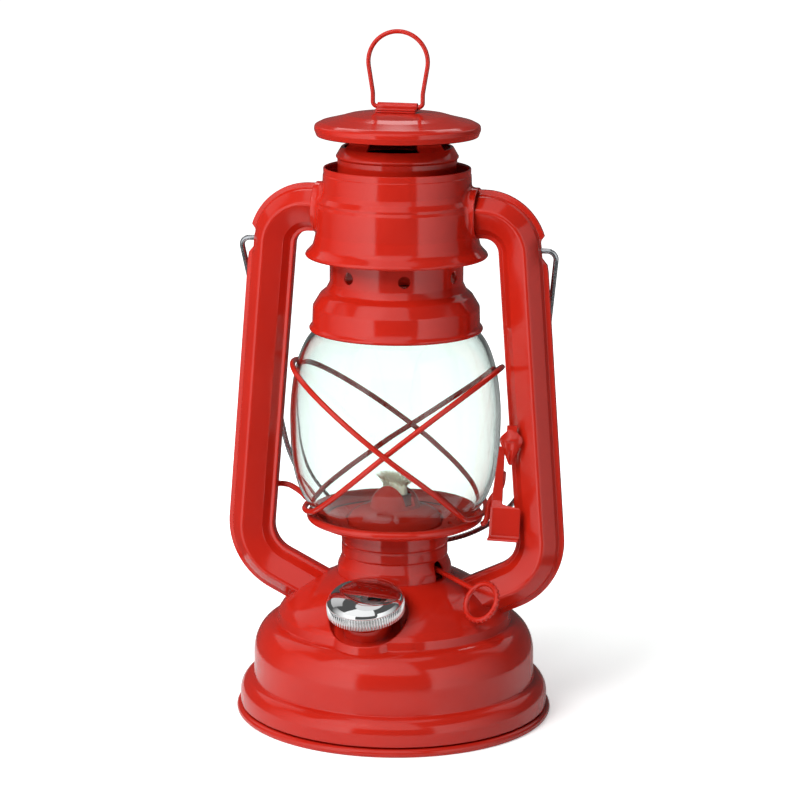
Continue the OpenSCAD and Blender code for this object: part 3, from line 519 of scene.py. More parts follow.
knurl_w, knurl_end = 0.72, 0.5
ridge = [(0.0, -1), (0.75, -0.62), (1.0, 0.0), (0.75, 0.62), (0.0, 1)]
knurl_levels = [(cap_low + 0.15, 0.0), (cap_low + knurl_end, 0.85), (band_top - knurl_end, 1.0),
                (band_top - 0.05, 0.0)]
knurl_verts = [(knurl_deep * up * tall - 0.08, knurl_w / 2 * side, z)
               for z, tall in knurl_levels for up, side in ridge]
knurl = plain("knurl_shape", knurl_verts, grid_faces(len(knurl_levels), len(ridge)))
ring_of_copies = ring_tree()
knurl_ring = run_tree(plain("filler_cap_knurls", [], []), ring_of_copies, knurl,
                      Count=knurls, Radius=band_r * MM, Finish=chrome)
knurl_ring.data.transform(in_metres(to_filler))
smooth(knurl_ring.data, 50)
settle(knurl_ring, "cap")

# Burner collar
# A spun steel collar soldered to the dome, with two fine creases, a lip that the globe plate rests on
# and an arched slot for the wick shaft.
collar_r, collar_top, collar_t = 19.3, 70.0, 0.6


def sheet(line, thick, lip=3):
    """A closed profile of sheet metal that lies to the left of a line, with its two ends rounded."""
    line = np.asarray(line, float)
    along = np.gradient(line, axis=0)
    along /= np.linalg.norm(along, axis=1)[:, None]
    other = line + thick * np.column_stack([-along[:, 1], along[:, 0]])
    other[:, 0] = np.maximum(other[:, 0], 0)

    def end(outer, inner, way):
        """Points round one rounded end of the sheet."""
        mid, half = (outer + inner) / 2, (outer - inner) / 2
        bend = np.linspace(0, math.pi, lip + 2)[1:-1]
        return [mid + half * math.cos(a) + way * thick / 2 * math.sin(a) for a in bend]

    top_end = [] if line[-1, 0] < 1e-6 else end(line[-1], other[-1], along[-1])
    low_end = end(other[0], line[0], -along[0])
    return np.vstack([line] + ([top_end] if len(top_end) else []) + [other[::-1], low_end])


def opening_tree():
    """Cuts a ring of openings through a sheet: copies of a cutter, turned round the axis, taken away."""
    tree, given = new_tree("openings_round_the_axis", {"Shape": "Object", "Count": "Int", "First": "Float",
                                                       "Finish": "Material"})
    spots, spin = ring_spots(tree, given["Count"], given["First"])
    cut = add_node(tree, "GeometryNodeMeshBoolean",
                   {"Mesh 1": given["Geometry"], "Mesh 2": copies(tree, spots, given["Shape"], spin)},
                   operation="DIFFERENCE", solver="EXACT")
    return end_tree(tree, cut.outputs[0], given["Finish"])


openings = opening_tree()


def prism(outline, low, high, axis):
    """A closed prism of an outline, from low to high along X (outline is y, z) or Z (outline is x, y)."""
    n = len(outline)
    verts = [(h, *p) if axis == "X" else (*p, h) for h in (low, high) for p in outline]
    return verts, [list(range(n))[::-1], list(range(n, 2 * n))] + grid_faces(2, n, True)


def pierced(made, cutter, count, first, crease=38):
    """Takes a ring of openings out of a piece, the first one at an angle in degrees."""
    run_tree(made, openings, plain("cutter", *cutter), Count=count, First=math.radians(first),
             Finish=made.data.materials[0])
    smooth(made.data, crease)


collar_line = rounded([
    (collar_r + 1.6, dome_z), (collar_r + 1.3, dome_z + 3.4, 4), (collar_r + 0.05, dome_z + 6.3, 2),
    (collar_r - 0.35, dome_z + 7, 0.3), (collar_r, dome_z + 7.7, 0.3), (collar_r, dome_z + 10.7, 0.3),
    (collar_r - 0.35, dome_z + 11.4, 0.3), (collar_r, dome_z + 12.1, 0.3), (collar_r, collar_top - 4.6, 3),
    (collar_r - 0.9, collar_top - 1.3, 1), (collar_r - 0.9, collar_top - 0.3, 0.3),
    (collar_r + 1.4, collar_top - 0.3)], 4)
collar = plain("burner_collar_spun", *lathe(sheet(collar_line, collar_t), 180, True), enamel)
slot_half, slot_h, slot_turn = 2.5, 6.8, -24
shaft_slot = [(-slot_half, dome_z - 3), (slot_half, dome_z - 3),
              *arc((0, dome_z + slot_h - slot_half), slot_half, slot_half, 0, 180, 14)]
pierced(collar, prism(shaft_slot, 12, 26, "X"), 1, slot_turn)
settle(collar, "frame", "burner_collar")

# Burner
# Inside the collar: a steel plate that closes the tank, the flat wick tube with its two bearing lugs,
# and over them the burner dome on its skirt, slotted for the flame and sprayed red.
cone_r, cone_h, cone_z, gallery_r, gallery_z = 9.0, 8.0, 75.9, 17.4, 63.8
cone_line = np.vstack([
    rounded([(gallery_r + 0.9, gallery_z + 0.3), (gallery_r, gallery_z + 0.3, 0.3),
             (gallery_r, cone_z - 4.6, 1.2), (gallery_r - 1.9, cone_z - 2.2, 2.5),
             (gallery_r - 4.4, cone_z - 0.7, 3.0), (cone_r + 1.6, cone_z - 0.1, 0.6),
             (cone_r + 0.2, cone_z + 0.1, 0.4), (cone_r, cone_z + 0.8)], 6),
    arc((0, cone_z), cone_r, cone_h, 8, 90, 18)])
cone_line[-1, 0] = 0
burner_dome = plain("burner_dome_slotted", *lathe(sheet(cone_line, 0.6), 120), enamel)
at_wick = Matrix.Rotation(math.radians(-36), 4, "Z")
slit = placed([(-7.4, -2.2, 0), (9.6, -2.2, 0), (9.6, 2.2, 0), (-7.4, 2.2, 0)], at_wick)[:, :2]
pierced(burner_dome, prism(slit, cone_z + 1.4, cone_z + 24, "Z"), 1, 0)
settle(burner_dome, "frame", "burner_cone")

steel = polished_plate("drawn_bright_steel", "B9BCC0", 0.2, 0.34, 1.5)
tinplate = polished_plate("tinned_steel", "A9A7A2", 0.28, 0.45, 3)
for node, finish in (("burner_base", enamel), ("wick_tube", tinplate), ("wick_wheels", tinplate)):
    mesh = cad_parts[node].data
    mesh.materials.clear()
    mesh.materials.append(finish)

# Wick
# A flat woven cotton ribbon, cream, cut square and drawn up through the wick tube. Its trimmed end frays
# into loose threads above the burner dome.
wick_w, wick_t, wick_low, wick_top = 12.0, 2.2, 14.0, 88.2


def woven_cotton(name, light, shade):
    """Unbleached cotton tape: matt, with a plain weave of about 0.7 mm threads, drawn a little coarse so that
    it shows."""
    made = bpy.data.materials.new(name)
    tree = emptied(made)
    place = add_node(tree, "ShaderNodeTexCoord").outputs["Object"]
    turned_to = add_node(tree, "ShaderNodeMapping", {"Vector": place, "Rotation": (0, 0, math.radians(36))})
    thread_mm = 0.7
    warp, weft = (
        add_node(tree, "ShaderNodeTexWave",
                 {"Vector": turned_to.outputs[0], "Scale": 1000 / thread_mm / 6.28 / 2, "Distortion": 1.5},
                 bands_direction=way) for way in "XZ")
    both = add_node(tree, "ShaderNodeMath", {0: warp.outputs["Fac"], 1: weft.outputs["Fac"]},
                    operation="MULTIPLY")
    tint = add_node(tree, "ShaderNodeMix",
                    {"Factor": both.outputs[0], "A": linear(shade), "B": linear(light)}, data_type="RGBA")
    lift = add_node(tree, "ShaderNodeBump", {"Height": both.outputs[0], "Distance": 0.0002})
    skin = add_node(tree, "ShaderNodeBsdfPrincipled",
                    {"Base Color": tint.outputs["Result"], "Roughness": 0.9, "Sheen Weight": 0.3,
                     "Normal": lift.outputs["Normal"]})
    add_node(tree, "ShaderNodeOutputMaterial", {"Surface": skin.outputs["BSDF"]})
    return made


cotton = woven_cotton("unbleached_cotton_tape", "FFFAEE", "F3E8D2")
half_w, half_t, wick_edge = wick_w / 2, wick_t / 2, 0.8
wick_outline = rounded([(0, -half_t), (half_w, -half_t, wick_edge), (half_w, half_t, wick_edge),
                        (-half_w, half_t, wick_edge), (-half_w, -half_t, wick_edge), (-0.01, -half_t)], 4)
ribbon_top, weft_rows = wick_top - 3.2, 40
wick_levels = [*np.linspace(wick_low, ribbon_top - 1.0, weft_rows), ribbon_top - 0.4, ribbon_top]
swell = [1 - 0.12 * (i % 2) for i in range(weft_rows)] + [0.93, 0.7]
wick_verts = [(x * (0.97 + 0.03 * s), y * s, z) for z, s in zip(wick_levels, swell) for x, y in wick_outline]
n = len(wick_outline)
wick_faces = grid_faces(len(wick_levels), n, True)
wick_faces += [list(range(n))[::-1], list(range(len(wick_verts) - n, len(wick_verts)))]
piece("wick_ribbon_woven", placed(wick_verts, at_wick), wick_faces, "wick_ribbon", cotton, "wick",
      "cotton_wick", 60)


def thread_tree():
    """Loose threads that stand on a flat strip, each leaning its own way."""
    tree, given = new_tree("frayed_threads", {"Shape": "Object", "Count": "Int", "Reach": "Vector",
                                              "Lean": "Float", "Seed": "Int", "Finish": "Material"})
    back = add_node(tree, "ShaderNodeVectorMath", {0: given["Reach"], 1: (-1, -1, -1)}, operation="MULTIPLY")
    spot = add_node(tree, "FunctionNodeRandomValue",
                    {"Min": back.outputs[0], "Max": given["Reach"], "Seed": given["Seed"]},
                    data_type="FLOAT_VECTOR")
    spots = add_node(tree, "GeometryNodePoints", {"Count": given["Count"], "Position": spot.outputs["Value"]})
    less = add_node(tree, "ShaderNodeMath", {0: given["Lean"], 1: -1.0}, operation="MULTIPLY")
    low = add_node(tree, "ShaderNodeCombineXYZ", {"X": less.outputs[0], "Y": less.outputs[0], "Z": -3.14})
    high = add_node(tree, "ShaderNodeCombineXYZ", {"X": given["Lean"], "Y": given["Lean"], "Z": 3.14})
    lean = add_node(tree, "FunctionNodeRandomValue",
                    {"Min": low.outputs[0], "Max": high.outputs[0], "Seed": given["Seed"]},
                    data_type="FLOAT_VECTOR")
    stand = copies(tree, spots.outputs[0], given["Shape"], lean.outputs["Value"])
    return end_tree(tree, stand, given["Finish"])


thread_l, thread_r, thread_rows, thread_count = 3.8, 0.13, 6, 1100
bow = [(0.45 * (z / thread_l) ** 2, 0.2 * math.sin(3 * z / thread_l), z)
       for z in np.linspace(0, thread_l, thread_rows)]
thread_verts = [(x + thread_r * (1.2 - 0.2 * i) * math.cos(a),
                 y + thread_r * (1.2 - 0.2 * i) * math.sin(a), z)
                for i, (x, y, z) in enumerate(bow) for a in (0, 2.094, 4.189)]
thread = plain("thread_shape", thread_verts, grid_faces(thread_rows, 3, True) + [[15, 16, 17], [2, 1, 0]])
fray = run_tree(plain("wick_frayed_end", [], []), thread_tree(), thread, Count=thread_count,
                Reach=(half_w * MM * 0.94, half_t * MM, 0.0012), Lean=0.75, Seed=7, Finish=cotton)
fray.data.transform(at_wick @ Matrix.Translation((0, 0, (ribbon_top - 0.9) * MM)))
smooth(fray.data, 80)
settle(fray, "wick_ribbon")

# Air tubes
# Each tube is pressed from two halves folded together along the outer edge, so it has a thin seam there, a
# crest in front and behind and a narrow inner rib. It is soldered to the chamber's stub and to the dome.
tube_top, stub_x, stub_l, top_bend, foot_bend = 184.2, 29.6, 2.4, 13.8, 18.7
foot_mid, foot_slope = (35.2, edge_z + 28.3), 26
top_mid = (stub_x + stub_l, tube_top - top_bend)
span = math.hypot(foot_mid[0] - top_mid[0], foot_mid[1] - top_mid[1])
splay = (math.acos((top_bend - foot_bend) / span)
         - math.atan2(top_mid[1] - foot_mid[1], foot_mid[0] - top_mid[0]))
run_l = math.sqrt(span ** 2 - (foot_bend - top_bend) ** 2)
foot_turn = math.pi / 2 + splay - math.radians(foot_slope)
tube_half = rounded([(8.6, 0), (8.6, 0.85, 0.35), (6.9, 1.25, 0.4), (6.2, 3.2, 0.7), (2.0, 8.0, 1.7),
                     (-5.0, 4.3, 1.1), (-6.5, 2.5, 0.5), (-7.1, 1.9, 0.3), (-8.6, 2.1, 0.5), (-8.6, 0)], 5)
tube_section = np.vstack([tube_half, (tube_half * [1, -1])[-2:0:-1]])


def tube_stations():
    """Middle, direction and outward normal along a tube in the XZ plane, from the stub to the foot."""
    here, heading, out = np.array([stub_x - 0.6, tube_top]), 0.0, []
    ahead = lambda: np.array([math.cos(heading), -math.sin(heading)])
    outward = lambda: np.array([math.sin(heading), math.cos(heading)])
    out.append((here.copy(), ahead(), outward()))
    for length, turn, bend, pieces, count in ((stub_l + 0.6, math.pi / 2 - splay, top_bend, 2, 26),
                                              (run_l, foot_turn, foot_bend, 40, 34)):
        for _ in range(pieces):
            here = here + ahead() * length / pieces
            out.append((here.copy(), ahead(), outward()))
        for _ in range(count):
            centre = here - outward() * bend
            heading += turn / count
            here = centre + outward() * bend
            out.append((here.copy(), ahead(), outward()))
    return out


stations = tube_stations()
ear_z, ear_x = 172.0, 52.4


def tube_mesh(side):
    """Points and faces of a tube: its section along the stations, notched for the bail, then to the tank."""
    rows = []
    for mid, d, out in stations:
        section = tube_section.copy()
        world_z = mid[1] + out[1] * section[:, 0]
        notch = np.clip((5.2 - np.abs(world_z - ear_z)) / 1.6, 0, 1) * (section[:, 0] > 6) * (mid[0] > 40)
        section[:, 0] -= notch * np.clip(section[:, 0] - 6.1, 0, None) * 0.82
        rows.append(np.column_stack([mid[0] + out[0] * section[:, 0], section[:, 1],
                                     mid[1] + out[1] * section[:, 0]]))
    start = rows[-1]
    way = np.array([stations[-1][1][0], 0, stations[-1][1][1]])
    reach = meet(start, way, tank_radius, 24.0, 0.0) + 0.15
    rows += [start + way * (reach * t)[:, None] for t in np.linspace(0, 1, 9)[1:]]
    verts = np.vstack(rows) * [side, 1, 1]
    faces = [[a, d, c, b] for a, b, c, d in grid_faces(len(rows), len(tube_section), True)]
    return verts, faces if side < 0 else [f[::-1] for f in faces]


for label, side in (("left", -1), ("right", 1)):
    piece(label + "_tube_pressed", *tube_mesh(side), "frame", enamel, label + "_tube", crease=50)

# Air chamber
# A drawn steel drum between the tubes with a flared skirt, a stepped waist and an open top; its two stubs
# are pressed out of the wall in a smooth curve and the tubes are soldered on.
flare_z, chamber_top = 168.0, 199.4
drum_line = rounded([
    (32.2, flare_z), (32.62, flare_z + 0.5, 0.4), (32.2, flare_z + 1.3, 0.5), (29.9, flare_z + 3.7, 4),
    (28.8, flare_z + 8.4, 6), (28.8, tube_top + 1.5, 0.4), (28.2, tube_top + 2.6, 0.5),
    (28.3, tube_top + 3.4, 0.5), (27.1, tube_top + 5.2, 1.2), (26.6, tube_top + 7.0, 1.5),
    (26.35, chamber_top - 2.4, 0.2),
    (26.15, chamber_top - 2.1, 0.2), (26.2, chamber_top - 0.2)], 5)


def divided(line, step):
    """A line with its long stretches cut into shorter ones."""
    points = [line[0]]
    for a, b in zip(line, line[1:]):
        count = max(1, int(np.linalg.norm(b - a) / step))
        points += [a + (b - a) * k / count for k in range(1, count + 1)]
    return np.array(points)


chamber_line = divided(drum_line, 0.8)


def chamber_radius(z):
    """The chamber's radius at a height."""
    return np.interp(z, chamber_line[:, 1], chamber_line[:, 0])


stub_r, stub_fillet, stub_out = 9.2, 1.9, 12.6


def stub_rows(side):
    """Rows of a stub from its end to the chamber's wall, round the X axis."""
    turn = np.linspace(0, 2 * math.pi, 121)[:-1] * side
    spread = np.column_stack([np.zeros(120), np.cos(turn), np.sin(turn)])
    mid, out = np.array([0, 0, tube_top]), np.array([side, 0, 0])
    row = lambda r, x: mid + spread * r + np.outer(np.broadcast_to(x, 120), out)
    wall = lambda r: meet(mid + spread * r, out, chamber_radius, 5, 60)
    base, end = wall(stub_r), wall(stub_r + stub_fillet)
    start = np.minimum(base + stub_fillet, stub_x - 0.3)
    rows = [row(stub_r - 0.9, stub_x - 0.1), row(stub_r - 0.25, stub_x), row(stub_r, stub_x - 0.25)]
    rows += [row(stub_r + stub_fillet * t * t, eased(start, base, end, t)) for t in np.linspace(0, 1, 9)]
    rows += [row(r, wall(r)) for r in np.linspace(stub_r + stub_fillet, stub_out, 5)[1:]]
    return rows


def at_stub(side):
    """Which points of the drum a stub takes the place of."""
    return lambda points: ((np.hypot(points[:, 1], points[:, 2] - tube_top) < stub_out + 0.5)
                           & (points[:, 0] * side > 0))


def chamber_mesh():
    """The drum with both stubs, each let into its own half, and a lining that makes the sheet thick."""
    south, up = np.eye(3)[1], np.eye(3)[2]
    verts, faces = let_in(chamber_line, 240, stub_rows(1), at_stub(1), south, up)
    other, more = let_in(chamber_line, 240, stub_rows(-1), at_stub(-1), -south, up)
    half = len(verts)
    right, left = verts[:, 0] >= -1e-6, other[:, 0] <= 1e-6
    joined = [f for f in faces if right[f].all()] + [[half + i for i in f] for f in more if left[f].all()]
    inner = sheet(chamber_line, 0.7)[len(chamber_line):]
    lining, shell = lathe(np.vstack([chamber_line[-1:], inner, chamber_line[:1]]), 240)
    base = half + len(other)
    return np.vstack([verts, other, np.array(lining)]), joined + [[base + i for i in f] for f in shell]


def welded(verts, faces, gap=0.01):
    """Merges doubled points and drops points that no face uses."""
    shape = bmesh.new()
    points = [shape.verts.new(v) for v in verts]
    for f in faces:
        shape.faces.new([points[i] for i in f])
    bmesh.ops.remove_doubles(shape, verts=shape.verts, dist=gap)
    bmesh.ops.delete(shape, geom=[v for v in shape.verts if not v.link_faces], context="VERTS")
    shape.verts.index_update()
    verts, faces = [tuple(v.co) for v in shape.verts], [[v.index for v in f.verts] for f in shape.faces]
    shape.free()
    return verts, faces


piece("air_chamber_drawn", *welded(*chamber_mesh()), "frame", enamel, "air_chamber")
baffle_line = [(17.1, 191.5), (25.6, 191.5), (25.75, 191.8), (25.6, 192.1), (17.1, 192.1)]
piece("chamber_baffle_disc", *lathe(baffle_line, 120, True), "frame", enamel, "chamber_baffle")

# Globe plate
# A pierced steel dish that carries the globe: two rings of small air holes and a rolled rim.
# It lies on the burner collar and rises with the lever.
plate_z, plate_r, rim_bead, plate_mid, plate_t = 70.3, 30.5, 1.45, 72.9, 0.8
plate_line = np.vstack([
    rounded([(18.0, plate_z), (28.6, plate_z, 1.2), (29.6, 71.4)]),
    arc((plate_r, plate_mid), rim_bead, rim_bead, -110, 190, 30),
    rounded([(28.9, 72.0), (28.2, plate_z + plate_t, 1.2), (18.0, plate_z + plate_t)])])
plate = plain("globe_plate_pierced", *lathe(plate_line, 200, True), enamel)
hole_r, holes = 0.9, 20
for hole_out, first in ((20.6, 18), (23.2, 9)):
    hole = arc((hole_out, 0), hole_r, hole_r, 0, 360, 16)[:-1]
    pierced(plate, prism(hole, plate_z - 1, plate_z + 2, "Z"), holes, first)
settle(plate, "globe_carriage", "globe_plate")

# Globe
# Machine-blown clear soda-lime glass, 1.6 mm thick, with a belled body and a narrower neck inside the hood.
# Its foot stands on the plate.
glass_t = 1.6


def flowing(points, steps):
    """A smooth line through points."""
    points = np.asarray(points, float)
    padded = np.vstack([2 * points[0] - points[1], points, 2 * points[-1] - points[-2]])
    line = []
    for a, b, c, d in zip(padded, padded[1:], padded[2:], padded[3:]):
        for t in np.linspace(0, 1, steps + 1)[:-1]:
            line.append(0.5 * (2 * b + (c - a) * t + (2 * a - 5 * b + 4 * c - d) * t ** 2
                               + (3 * b - a - 3 * c + d) * t ** 3))
    return np.array(line + [points[-1]])


globe_points = [(26.2, 71.1), (28.8, 74.2), (32.0, 78.4), (34.6, 83.4), (36.6, 90.0), (37.6, 98.0),
                (37.9, 106.0), (37.9, 112.0), (37.4, 119.0), (36.3, 126.0), (34.6, 132.0), (32.6, 136.6),
                (30.3, 139.8), (28.5, 141.8), (27.7, 144.0), (27.6, 147.0), (27.6, 151.6)]


def blown_glass(name, tint):
    """Clear soda-lime glass: colourless with a faint cool tint, and slow waves from blowing. The lamps shine
    straight through it, as through thin clear glass."""
    made = bpy.data.materials.new(name)
    tree = emptied(made)
    place = add_node(tree, "ShaderNodeTexCoord").outputs["Object"]
    wave_mm = 26
    wave = add_node(tree, "ShaderNodeTexNoise", {"Vector": place, "Scale": 1000 / wave_mm, "Detail": 0.5})
    slow = add_node(tree, "ShaderNodeBump", {"Height": wave.outputs["Fac"], "Distance": 0.0001})
    skin = add_node(tree, "ShaderNodeBsdfPrincipled",
                    {"Base Color": linear(tint), "Roughness": 0.0, "IOR": 1.5, "Transmission Weight": 1.0,
                     "Normal": slow.outputs["Normal"]})
    through = add_node(tree, "ShaderNodeBsdfTransparent", {"Color": linear(tint)})
    light = add_node(tree, "ShaderNodeLightPath").outputs["Is Shadow Ray"]
    lit = add_node(tree, "ShaderNodeMixShader", {0: light, 1: skin.outputs["BSDF"], 2: through.outputs[0]})
    add_node(tree, "ShaderNodeOutputMaterial", {"Surface": lit.outputs[0]})
    return made


clear_glass = blown_glass("clear_soda_lime_glass", "EDF5F2")
piece("globe_blown", *lathe(sheet(flowing(globe_points, 5), glass_t), 180, True), "globe_carriage",
      clear_glass, "globe", "clear_glass", 70)

# Guard hoops
# Two closed ovals of drawn steel wire that cross in front of and behind the globe and lie on the plate's rim
# at their low ends; sprayed red with the frame.
hoop_d = 2.0


def swept(line, radius, closed=False, sides=16):
    """A round wire along a line of points, with domed ends where it is open."""
    line = np.asarray(line, float)
    if closed:
        line = line[:-1]
    keep = [0] + [i for i in range(1, len(line)) if np.linalg.norm(line[i] - line[i - 1]) > 0.02]
    line = line[keep]
    ahead = np.roll(line, -1, 0) - line
    behind = line - np.roll(line, 1, 0)
    if not closed:
        ahead[-1], behind[0] = behind[-1], ahead[0]
    along = ahead / np.linalg.norm(ahead, axis=1)[:, None] + behind / np.linalg.norm(behind, axis=1)[:, None]
    along /= np.linalg.norm(along, axis=1)[:, None]
    flat = np.cross(line[len(line) // 3] - line[0], line[2 * len(line) // 3] - line[0])
    if np.linalg.norm(flat) < 1e-6:
        flat = np.cross(along[0], (0.3, 0.8, 0.5))
    side = np.cross(flat / np.linalg.norm(flat), along)
    side /= np.linalg.norm(side, axis=1)[:, None]
    up = np.cross(along, side)
    turn = np.linspace(0, 2 * math.pi, sides + 1)[:-1]
    ring = lambda i, r, push: (line[i] + push * along[i]
                               + r * (np.outer(np.cos(turn), side[i]) + np.outer(np.sin(turn), up[i])))
    rows = [ring(i, radius, 0) for i in range(len(line))]
    if not closed:
        dome = [(radius * math.cos(a), radius * 0.6 * math.sin(a)) for a in np.radians([30, 60, 85])]
        rows = [ring(0, r, -push) for r, push in dome[::-1]] + rows + [ring(-1, r, push) for r, push in dome]
    count = len(rows)
    faces = grid_faces(count, sides, True, closed)
    if not closed:
        faces += [list(range(sides))[::-1], list(range((count - 1) * sides, count * sides))]
    return np.vstack(rows), faces


def closed_flow(points, steps):
    """A smooth closed line through points."""
    return flowing([points[-1], *points, *points[:2]], steps)[steps:-steps]


inner_bends = [
    (-24.9, -22.4, 77.8), (-16.5, -32.3, 84.3), (-6.4, -38.0, 93.1), (4.5, -39.5, 102.7),
    (15.6, -36.5, 111.9), (25.6, -29.4, 119.8), (33.2, -18.4, 125.5), (37.3, -4.5, 128.3),
    (36.9, 10.0, 127.5), (31.6, 22.8, 122.9), (22.9, 32.3, 116.0), (12.0, 38.0, 108.0),
    (0.1, 39.3, 99.7), (-11.8, 36.5, 91.7), (-22.1, 29.0, 84.4), (-29.4, 17.8, 78.8),
    (-32.3, 3.9, 75.6), (-31.1, -10.3, 75.6)]
outer_bends = [
    (29.8, -13.6, 76.3), (27.4, -26.9, 83.2), (19.8, -36.0, 92.5), (8.9, -41.0, 101.8),
    (-3.0, -42.1, 111.0), (-15.1, -38.8, 119.6), (-25.8, -30.1, 125.8), (-33.3, -17.2, 128.6),
    (-37.1, -2.3, 128.3), (-36.9, 12.6, 125.2), (-32.3, 25.8, 119.4), (-23.4, 35.4, 111.6),
    (-12.0, 40.5, 103.0), (0.4, 41.5, 94.3), (12.6, 37.6, 86.3), (23.0, 28.4, 80.1),
    (29.9, 15.3, 76.4), (32.8, 0.8, 75.6)]
for label, bends in (("inner", inner_bends), ("outer", outer_bends)):
    piece("guard_hoop_" + label, *swept(closed_flow(bends, 14), hoop_d / 2, True), "globe_carriage", enamel,
          label + "_hoop", crease=80)

# Guide arm, lift arm and thumb lever
# Two short wires run from the hoops' low ends to the tubes and guide the carriage. The right one carries
# a strip of sheet with a thumb plate, its lower edge rolled forward; the strip slides behind a
# spade-shaped guide on the tube.
arm_r = 1.05
hoop_lean, hoop_spin, hoop_mid = 37.5, 6, 99.5
low_x = plate_r + rim_bead + hoop_d / 2 + 0.05
low_z = hoop_mid - low_x * math.tan(math.radians(hoop_lean))


def tube_x(z):
    """The middle of the right tube's straight run at a height."""
    return (top_mid[0] + top_bend * math.cos(splay)
            + (top_mid[1] + top_bend * math.sin(splay) - z) * math.tan(splay))


guide_y, guide_z = 5.2, low_z + 5.9
guide_end = tube_x(guide_z) - 8.6 + 1.2
guide_bends = [(guide_end, guide_z), (guide_end - 2.6, guide_z), (guide_end - 5.0, guide_z - 0.5),
               (36.8, 77.4), (35.0, 75.7), (34.5, 75.3)]
guide_line = [(-x, guide_y, z) for x, z in flowing(guide_bends, 8)]
piece("guide_arm_wire", *swept(guide_line, arm_r), "globe_carriage", enamel, "guide_arm", crease=80)
lift_y = -4.05
lift_bends = [(33.3, 72.5), (34.3, 73.3), (35.1, 75.6), (35.3, 78.2), (35.9, 80.8), (37.2, 83.2),
              (39.2, 85.2), (40.4, 88.4), (40.7, 92.0)]
lift_line = [(x, lift_y, z) for x, z in flowing(lift_bends, 8)]
piece("lift_arm_wire", *swept(lift_line, arm_r), "globe_carriage", enamel, "lift_arm", crease=80)

lever_t, thumb_w, thumb_h, lip_roll = 0.8, 10.8, 9.6, 2.2
lever_y = lift_y - arm_r - 0.05
lever_x = low_x / math.cos(math.radians(hoop_spin)) - lift_y * math.tan(math.radians(hoop_spin)) + 3.4
thumb_y, thumb_top, strip_top = lever_y - 1.5, plate_mid + 6.8, plate_mid + 29
thumb_low, thumb_right = thumb_top - thumb_h, lever_x + thumb_w
lever_path = rounded([(lever_y, strip_top), (lever_y, thumb_top + 2.3, 1.5), (thumb_y, thumb_top - 0.4, 1.5),
                      (thumb_y, thumb_low)], 6)
lever_path = np.vstack([lever_path[:-1], bowed(lever_path[-2], (thumb_y, thumb_low), 0, 6)[1:],
                        arc((thumb_y - lip_roll, thumb_low), lip_roll, lip_roll, 0, -125, 12)[1:]])
left_edge = [(strip_top, lever_x + 2.4), (thumb_top + 3.4, lever_x), (thumb_low - 4, lever_x - 0.9)]
right_edge = [(strip_top, lever_x + 4.4), (thumb_top + 1.4, lever_x + 3.8), (thumb_top + 0.6, lever_x + 4.4),
              (thumb_top + 0.1, thumb_right - 0.6), (thumb_top - 0.7, thumb_right),
              (thumb_low - 4, thumb_right - 0.5)]


def at_height(edge, z):
    """Where an edge, given from the top down as (height, place), is at a height."""
    return np.interp(z, [p[0] for p in edge[::-1]], [p[1] for p in edge[::-1]])


def thickened(made, thick, edge, side=-1, crease=50):
    """Gives a sheet its thickness and rounds its edges."""
    wall = made.modifiers.new("wall", "SOLIDIFY")
    wall.thickness, wall.offset = thick * MM, side
    soft = made.modifiers.new("soft", "BEVEL")
    soft.width, soft.segments, soft.limit_method, soft.angle_limit = edge * MM, 3, "ANGLE", math.radians(50)
    as_plain_mesh(made)
    smooth(made.data, crease)


lever_path = divided(lever_path, 0.5)
lever_verts = []
for y, z in lever_path:
    left, right = at_height(left_edge, z), at_height(right_edge, z)
    lever_verts += [(left + (right - left) * k / 8, y, z) for k in range(9)]
lever = plain("thumb_lever_strip", lever_verts, grid_faces(len(lever_path), 9), enamel)
thickened(lever, lever_t, 0.25)
settle(lever, "globe_carriage", "lift_lever")

spade_z, spade_y, spade_t, spade_h, spade_rows, spade_columns = 95.7, -6.3, 0.8, 14.3, 44, 15
spade_x = tube_x(spade_z) - 8.2
spade_left = [(spade_h, -1.1), (12.2, -1.2), (11.3, -2.2), (10.3, -3.2), (9.2, -3.6), (8.0, -3.5),
              (3.0, -1.5), (0.6, -0.6), (0, -0.2)]
spade_right = [(spade_h, 2.4), (12.2, 2.5), (11.4, 3.2), (10.4, 4.2), (9.2, 4.6), (8.0, 4.4), (3.0, 2.0),
               (0.6, 0.9), (0, 0.5)]
spade_verts = []
for up in np.linspace(spade_h, 0, spade_rows):
    left, right = at_height(spade_left, up), at_height(spade_right, up)
    belly = 1.5 * np.interp(up, [0, 2, 6, 9.6, 11.6, 13], [0.1, 0.5, 0.9, 1.0, 0.35, 0.0])
    crease = np.interp(up, [0, 1, 5, 8.2, 9.0], [0.0, 0.9, 0.8, 0.5, 0.0])
    wide = np.interp(up, [1, 8.5], [0.2, 0.55])
    for u in np.linspace(-1, 1, spade_columns):
        bulged = belly * (1 - u * u)
        fold = min(crease * max(0.0, 1 - abs(u) / wide), bulged)
        spade_verts.append((spade_x + (left + right) / 2 + u * (right - left) / 2,
                            spade_y - spade_t - bulged + fold, spade_z + up))
spade = plain("spade_guide_pressed", spade_verts, grid_faces(spade_rows, spade_columns), enamel)
thickened(spade, spade_t, 0.2, 1)
settle(spade, "frame", "lever_guide")

